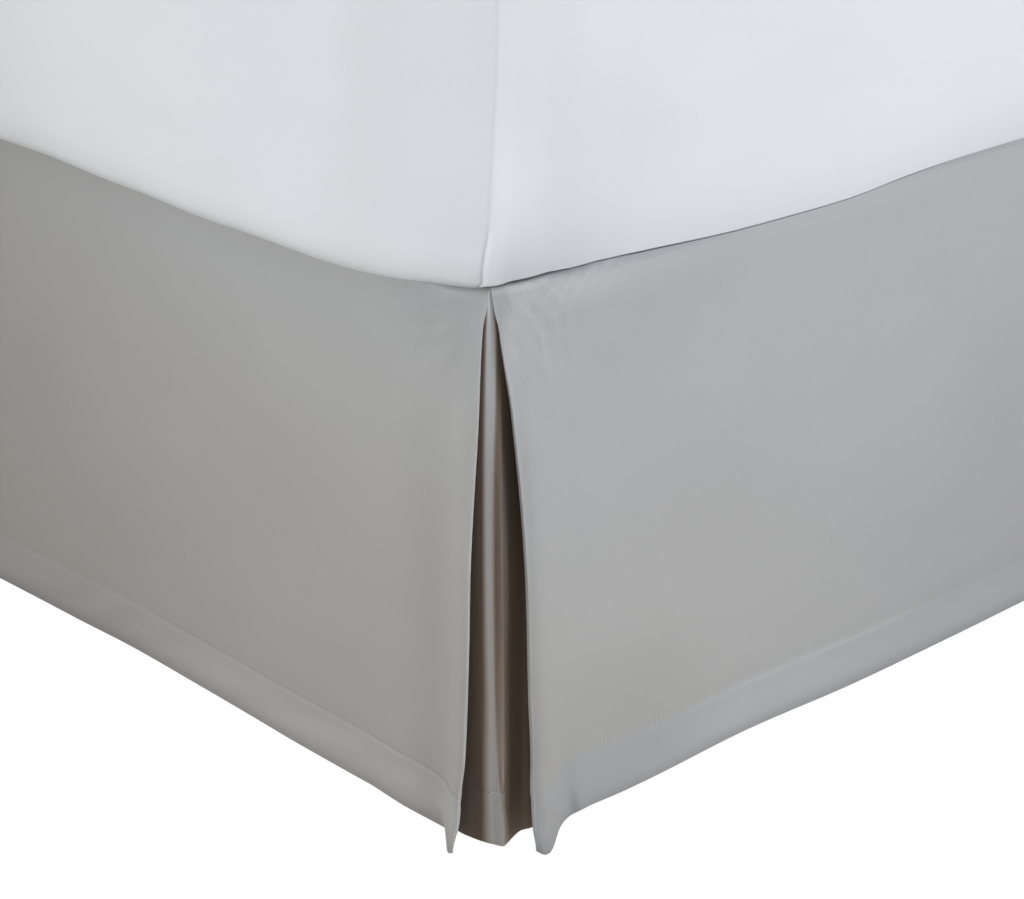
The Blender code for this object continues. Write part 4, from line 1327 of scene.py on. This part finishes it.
# %% One row of the mattress, round one corner
def mattress_ring(row, x_side, y_side):
    """One row's points round one corner, in the order of the quarter's places."""
    height, inset, inward = row
    shift = read_pairs(CORNER_SEAM, np.array([height]))
    places = quarter + shift * fall(np.abs(quarter), 12, 60)
    x, y, across, along = outline(places)
    regular = (SIDE_OVERHANG * across - END_OVERHANG * along) / (across - along)
    from_middle = -along * (2 * x / BED_WIDTH) ** 2 + across * (2 * y / BED_LENGTH) ** 2
    regular = regular - SIDE_BOW * (1 - across + along + from_middle)
    wavy = read_pairs(MATTRESS_LOWER_EDGE, places) + LOWER_CONTOUR
    share = read_pairs(WAVY_EDGE, np.array([height]))
    tight = fade(places, *TIGHT_PLACES)
    if height <= LOWER_ROUND:
        height = height * (1 - TIGHTER * tight)
        inset = inset * (1 - TIGHTER * tight)
    drawn = DRAWN_IN * (0.3 + 0.7 * tight) * edge_rise(height, DRAWN_FROM)
    overhang = wavy * share + regular * (1 - share) - inset - drawn
    overhang = overhang + sheet_relief(height, quarter, places)
    x = x + across * overhang
    y = y + along * overhang
    rim_x, rim_y = np.abs(x).max(), np.abs(y).max()
    x = x * (1 - inward)
    y = y * (1 - inward)
    crown = TOP_CROWN * (1 - (x / rim_x) ** 2) * (1 - (y / rim_y) ** 2) if inward else 0
    top = MATTRESS_UNDERSIDE + height + crown
    return np.stack([x * x_side, y * y_side, top + lifted_edge(height, places)], axis=1)


# %% What sewing and tucking do to the sheet, and its painted light and shade
def sheet_relief(height, from_seam, places):
    """The corner seam, its small ripples, and the gathered lower edge beside it."""
    seam = 0.05 * ridge(from_seam, 1.3, 0.8) - 0.05 * ridge(from_seam, -0.1, 0.5)
    seam = seam * (1 + 0.8 * fall(height, 16, 40))
    crease = 0.22 * np.exp(-np.abs(from_seam) / 14)
    pull = 0.12 * np.sin(height / 7 + from_seam / 9) * ridge(from_seam, 0, 22)
    tension = 0.15 * np.sin(height / 11 + places / 95) * ridge(places, 0, 130)
    gathers = 0.35 * np.sin(places / 2.3) * np.sin(places / 7.9 + 0.5)
    gathers = gathers * fall(height, 2, 9) * between(places, 4, 16, 45, 80)
    return (seam + crease + pull + tension) * between(height, 3, 10, 235, 258) + gathers


def lifted_edge(height, places):
    """The sheet's lower edge rides up beside the corner, where it is drawn in."""
    beside = fade(places, 4, 12) * (1 - 0.5 * fade(places, 45, 110)) * fall(places, 240, 420)
    wavy = 1 + 0.30 * np.sin(places / 6.1) * np.sin(places / 14 + 0.4)
    return 0.9 * (beside + ridge(places, 32, 20)) * fall(height, 1, 10) * wavy


def sheet_tone(height, places):
    """The painted light and shade of the sheet: at its seam, towards its lower edge, and a painted line of
    shadow under it.
    """
    side = fade(places, -0.4, 0.4)
    end = 1 - side
    step = 0.085 * side * fall(places, 4, 36) + 0.06 * fade(-places, 180, 420) * fade(height, 8, 40)
    step = step - 0.04 * end * fade(places, -45, -10) * fall(height, 35, 85) - 0.010
    seam = 0.13 * ridge(places, 1.4, 1.6) * side - 0.22 * ridge(places, -0.2, 0.45)
    seam = seam * fall(height, 24, 50) - 0.04 * ridge(places, -0.7, 0.8)
    drop = 0.07 + 0.16 * fall(places, 30, 110) + 0.13 * between(places, 3, 11, 11, 36)
    drop = drop * edge_rise(height, 74, 1.5) + 0.03 * fall(places, 150, 350) + 0.005
    soft = 0.045 * ridge(height, 85, 55) * between(places, 3, 13, 60, 160)
    tuck = 0.12 * edge_rise(height, 24, 1) + 0.16 * fade(places, -42, -14) * fall(height, 1.5, 7)
    line = fade(places, -2, 4) * (1 - 0.20 * fade(places, 100, 170)) * fall(places, 350, 470)
    line = line + 0.8 * ridge(places, -45, 26)
    line = 0.93 * line * fall(height - 0.5 * fade(places, 70, 110), 1.2, 2.1)
    return (step + seam - side * drop - soft - end * tuck - line) * fall(height, 220, 255)


# %% The mattress as one closed wrap
# Each corner's columns run from the end towards the side. The ring goes round the
# bed one way, so every second corner is turned end for end.
CORNER_ORDER = ((1, 1), (1, -1), (-1, -1), (-1, 1))
rings = []
for row in mattress_rows:
    corners = [mattress_ring(row, x_side, y_side)[::x_side * y_side] for x_side, y_side in CORNER_ORDER]
    ring = np.concatenate([corner[:-1] for corner in corners])
    rings.append(np.concatenate([ring, ring[:1]]))
ring_points = np.array(rings)
steps = np.linalg.norm(np.diff(ring_points[len(rings) // 3], axis=0), axis=1)
round_distance = np.concatenate([[0], np.cumsum(steps)])
up_distance = np.cumsum([0] + [math.hypot(b[0] - a[0], b[1] - a[1]) + abs(b[2] - a[2]) * TOP_REACH
                               for a, b in zip(mattress_rows, mattress_rows[1:])])
wrap_places = np.stack(np.broadcast_arrays(round_distance[None, :], up_distance[:, None]), axis=2)
mattress, wrap_row, wrap_column = grid_sheet("mattress_in_sheet", ring_points, wrap_places, (0, 0, 1))
tighter = 1 - TIGHTER * fade(quarter, *TIGHT_PLACES)
# The painted shade of the sheet, kept on the wrap for its finish.
tones = [sheet_tone(row[0] * (tighter if row[0] <= LOWER_ROUND else 1), quarter) for row in mattress_rows]
ring_tones = np.array([np.concatenate([tone[::turn][:-1] for turn in (1, -1, 1, -1)] + [tone[:1]])
                       for tone in tones])
set_values(mattress, "sewn_tone", ring_tones[wrap_row, wrap_column])
select_only(mattress)
bpy.ops.object.mode_set(mode="EDIT")
close_shell(0.02)
bpy.ops.object.shade_smooth()
print(mattress.name, len(mattress.data.polygons), "faces")
print(len(rings), "rings of", ring_points.shape[1], "points")

# %% [markdown]
# The fitted sheet is white cotton percale: a fine, even, one-over-one weave, a
# little crisp and hardly shiny. The weave is a shallow bump, and faint slow creases
# from folding run across it.

# %% White percale
def percale():
    made = Finish("white_percale", roughness=0.62, sheen_weight=0.15, specular_ior_level=0.3)
    warp = made.threads(made.cloth_place(1, 0.2), "X", 420)
    weft = made.threads(made.cloth_place(0.2, 1), "Y", 420)
    slow = made.noise(made.cloth_place(1, 2.2), 4.5, 3.0, 0.55)
    fine = made.noise(made.cloth_place(1, 1), 380, 2.0)
    white = made.ramp(slow * 0.7 + fine * 0.3,
                      (0.25, (0.800, 0.815, 0.838)), (0.75, (0.855, 0.868, 0.888)))
    # The white is scaled by the painted light and shade of the sheet.
    made.colour(made.toned(white))
    made.roughness(fine * 0.12 + 0.56)
    creases = made.noise(made.cloth_place(1, 3.5), 16, 2.0, 0.45)
    weave = made.node("ShaderNodeBump", {}, {
        "Height": warp * 0.5 + weft * 0.5, "Distance": 0.03 * MM, "Strength": 0.5})
    made.bump_over(weave, creases, 0.7 * MM)
    return made.material


paint(mattress, percale())
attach(mattress, "root")
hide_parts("mattress")

# %% [markdown]
# ## The base and its legs
#
# Under the cloth stands a plain upholstered base on six turned legs. It only shows
# from the head end and from low down. The base starts as a box: its upright edges
# and its top edge are rounded, and its underside is set in, where the real one has
# a stapled dust cloth.

# %% The base
def select_faces(thing, wanted):
    bpy.ops.mesh.select_all(action="DESELECT")
    bpy.ops.object.mode_set(mode="OBJECT")
    for face in thing.data.polygons:
        face.select = wanted(face)
    bpy.ops.object.mode_set(mode="EDIT")


def select_edges(thing, wanted):
    bpy.ops.mesh.select_mode(type="EDGE")
    bpy.ops.mesh.select_all(action="DESELECT")
    bpy.ops.object.mode_set(mode="OBJECT")
    for edge in thing.data.edges:
        ends = [thing.data.vertices[i].co for i in edge.vertices]
        edge.select = wanted(*ends)
    bpy.ops.object.mode_set(mode="EDIT")


BASE_CORNER = 24 * MM
BASE_EDGE_ROUND = 14 * MM
BASE_FOOT_ROUND = 1.5 * MM
UNDERSIDE_RIM = 12 * MM  # round the dust cloth, which is set in by the rise
UNDERSIDE_RISE = 3 * MM
UNDERSIDE_BAND = 60 * MM
base_low, base_high = (Vector(corner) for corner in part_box("bed_base"))
clear_selection()
bpy.ops.mesh.primitive_cube_add(size=1, location=(base_low + base_high) / 2)
base = bpy.context.object
base.name = "bed_base_upholstered"
base.scale = base_high - base_low
bpy.ops.object.transform_apply(location=True, rotation=True, scale=True)
bpy.ops.object.mode_set(mode="EDIT")
select_edges(base, lambda a, b: abs(a.z - b.z) > 0.1)
bpy.ops.mesh.bevel(offset=BASE_CORNER, segments=10, profile=0.5)
select_edges(base, lambda a, b: a.z > base_high.z - 1e-5 and b.z > base_high.z - 1e-5)
bpy.ops.mesh.bevel(offset=BASE_EDGE_ROUND, segments=6, profile=0.5)
select_faces(base, lambda face: face.normal.z < -0.9)
bpy.ops.mesh.inset(thickness=UNDERSIDE_RIM)
bpy.ops.mesh.extrude_region_move(TRANSFORM_OT_translate={"value": (0, 0, UNDERSIDE_RISE)})
bpy.ops.mesh.inset(thickness=UNDERSIDE_BAND)
select_edges(base, lambda a, b: a.z < base_low.z + 1e-5 and b.z < base_low.z + 1e-5)
bpy.ops.mesh.bevel(offset=BASE_FOOT_ROUND, segments=3, profile=0.5)
bpy.ops.object.mode_set(mode="OBJECT")
bpy.ops.object.shade_smooth_by_angle(angle=math.radians(40))
print(base.name, len(base.data.polygons), "faces")


def upholstery():
    """A tight plain-woven cloth, read in object coordinates."""
    made = Finish("base_upholstery", roughness=0.85, sheen_weight=0.2, specular_ior_level=0.2)
    place = made.object_place((1, 1, 1))
    across = made.threads(place, "X", 260)
    along = made.threads(place, "Y", 260)
    upright = made.threads(place, "Z", 260)
    mottle = made.noise(place, 60, 4.0, 0.6)
    flecks = made.noise(place, 900, 2.0)
    made.colour(made.ramp(mottle * 0.5 + flecks * 0.5,
                          (0.3, (0.36, 0.345, 0.32)), (0.7, (0.47, 0.455, 0.425))))
    made.roughness(flecks * 0.10 + 0.80)
    made.bump(across * 0.33 + along * 0.33 + upright * 0.34, 0.15 * MM)
    return made.material


paint(base, upholstery())
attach(base, "root")
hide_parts("bed_base")

# %% [markdown]
# The legs are turned: round, wider at the top, with a small bead under the base and
# a rounded foot. One leg's profile is drawn as an edge and spun round the upright
# axis. It is copied five times, each copy with its own mesh.

# %% One turned leg
LegRing = namedtuple("LegRing", "height radius")
leg_low, leg_high = (Vector(corner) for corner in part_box("leg_foot_right"))
LEG_TOP = leg_high.z
LEG_WIDE = (leg_high.x - leg_low.x) / 2
LEG_PROFILE = [
    LegRing(0.0, LEG_WIDE * 0.70),
    LegRing(1.2 * MM, LEG_WIDE * 0.755),
    LegRing(3.0 * MM, LEG_WIDE * 0.785),
    LegRing(LEG_TOP - 22 * MM, LEG_WIDE * 0.955),
    LegRing(LEG_TOP - 19 * MM, LEG_WIDE * 0.93),
    LegRing(LEG_TOP - 17 * MM, LEG_WIDE * 0.96),
    LegRing(LEG_TOP - 3 * MM, LEG_WIDE * 1.0),
    LegRing(LEG_TOP - 1 * MM, LEG_WIDE * 0.98),
    LegRing(LEG_TOP, LEG_WIDE * 0.94),
]


def turned_leg(name):
    """The profile spun round the upright axis, closed at both ends."""
    clear_selection()
    bpy.ops.mesh.primitive_plane_add(size=1)
    leg = bpy.context.object
    leg.name = name
    bpy.ops.object.mode_set(mode="EDIT")
    bpy.ops.mesh.delete(type="VERT")
    bpy.ops.object.mode_set(mode="OBJECT")
    leg.data.vertices.add(len(LEG_PROFILE))
    leg.data.edges.add(len(LEG_PROFILE) - 1)
    for vertex, ring in zip(leg.data.vertices, LEG_PROFILE):
        vertex.co = (ring.radius, 0, ring.height)
    for i, edge in enumerate(leg.data.edges):
        edge.vertices = (i, i + 1)
    bpy.ops.object.mode_set(mode="EDIT")
    bpy.ops.mesh.select_all(action="SELECT")
    bpy.ops.mesh.spin(steps=48, angle=2 * math.pi, center=(0, 0, 0), axis=(0, 0, 1))
    close_shell(0.01)
    bpy.ops.object.shade_smooth_by_angle(angle=math.radians(35))
    return leg


def stained_wood():
    """Dark stained wood: grain that runs down the leg, with a satin lacquer."""
    made = Finish("dark_stained_wood", roughness=0.38, coat_weight=0.25, coat_roughness=0.25)
    grain = made.noise(made.object_place((1, 1, 0.06)), 130, 5.0, 0.6)
    pores = made.noise(made.object_place((1, 1, 0.03)), 900, 2.0)
    made.colour(made.ramp(grain * 0.75 + pores * 0.25,
                          (0.35, (0.022, 0.011, 0.006)), (0.68, (0.085, 0.043, 0.022))))
    made.roughness(pores * 0.14 + 0.31)
    made.bump(grain * 0.5 + pores * 0.5, 0.12 * MM)
    return made.material


leg_wood = stained_wood()
leg_model = turned_leg("leg_model")
for node in sorted(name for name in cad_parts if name.startswith("leg_")):
    low, high = (Vector(corner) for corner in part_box(node))
    leg = bpy.data.objects.new(node + "_turned", leg_model.data.copy())
    bpy.context.scene.collection.objects.link(leg)
    leg.data.transform(Matrix.Translation(((low.x + high.x) / 2, (low.y + high.y) / 2, 0)))
    paint(leg, leg_wood)
    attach(leg, "root")
    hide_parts(node)
    print(leg.name, len(leg.data.polygons), "faces")
bpy.data.objects.remove(leg_model)

# %% [markdown]
# ## Light and floor
#
# The floor is a pale table that glows a little. It takes shadows but is hidden
# from the soft bounce, so that the hems aren't lit from below. A dim, warm surround
# fills the shade. Two soft boxes with a narrow spread stand off the foot corner,
# one by the right side and one by the foot: their beams fall off along both panels.
# A dim third one faces the corner itself, and a wide one lights the far side.

# %% The floor
FLOOR_SIZE = 14
FLOOR_GLOW = 0.98
clear_selection()
bpy.ops.mesh.primitive_plane_add(size=FLOOR_SIZE)
floor = bpy.context.object
floor.name = "floor"
floor.visible_diffuse = False
floor.visible_glossy = False
floor.visible_shadow = False
floor_paint = Finish("pale_floor", roughness=0.9, specular_ior_level=0.1,
                     emission_color=(1, 1, 1, 1), emission_strength=FLOOR_GLOW)
tone = floor_paint.noise(floor_paint.object_place((1, 1, 1)), 3, 2.0)
floor_paint.colour(floor_paint.ramp(tone, (0.3, (0.22, 0.22, 0.22)), (0.7, (0.26, 0.26, 0.26))))
floor.data.materials.append(floor_paint.material)

# %% Surround and lights
world = bpy.data.worlds.new("surround")
world.use_nodes = True
surround = world.node_tree.nodes["Background"]
surround.inputs["Color"].default_value = (0.36, 0.335, 0.30, 1)
surround.inputs["Strength"].default_value = 1.0
bpy.context.scene.world = world


def soft_box(name, place, target, size, spread, power, colour):
    """A round soft box that doesn't show in any view."""
    lamp = bpy.data.objects.new(name, bpy.data.lights.new(name, "AREA"))
    lamp.data.shape = "DISK"
    lamp.data.size = size
    lamp.data.spread = math.radians(spread)
    lamp.data.energy = power
    lamp.data.color = colour
    lamp.visible_camera = False
    lamp.location = place
    direction = Vector(target) - Vector(place)
    lamp.rotation_euler = direction.to_track_quat("-Z", "Y").to_euler()
    bpy.context.scene.collection.objects.link(lamp)
    return lamp


soft_box("side_box", place=(3.25, -0.37, 0.48), target=(0.60, -0.93, 0.69),
         size=1.9, spread=28.1, power=5.74, colour=(0.858, 0.902, 1.0))
soft_box("foot_box", place=(-1.39, -4.19, 0.95), target=(0.80, -1.10, 0.48),
         size=0.98, spread=28.1, power=2.79, colour=(0.878, 0.925, 1.0))
soft_box("front_box", place=(1.61, -2.00, 0.84), target=(0.81, -1.00, 0.0),
         size=2.26, spread=33.4, power=1.31, colour=(0.70, 0.83, 1.0))
soft_box("far_box", place=(-3.4, 3.6, 2.6), target=(-0.2, 0.3, 0.3),
         size=2.4, spread=120, power=62, colour=(1.0, 0.99, 0.97))
bpy.context.scene.view_settings.view_transform = "Standard"
print("lights set")
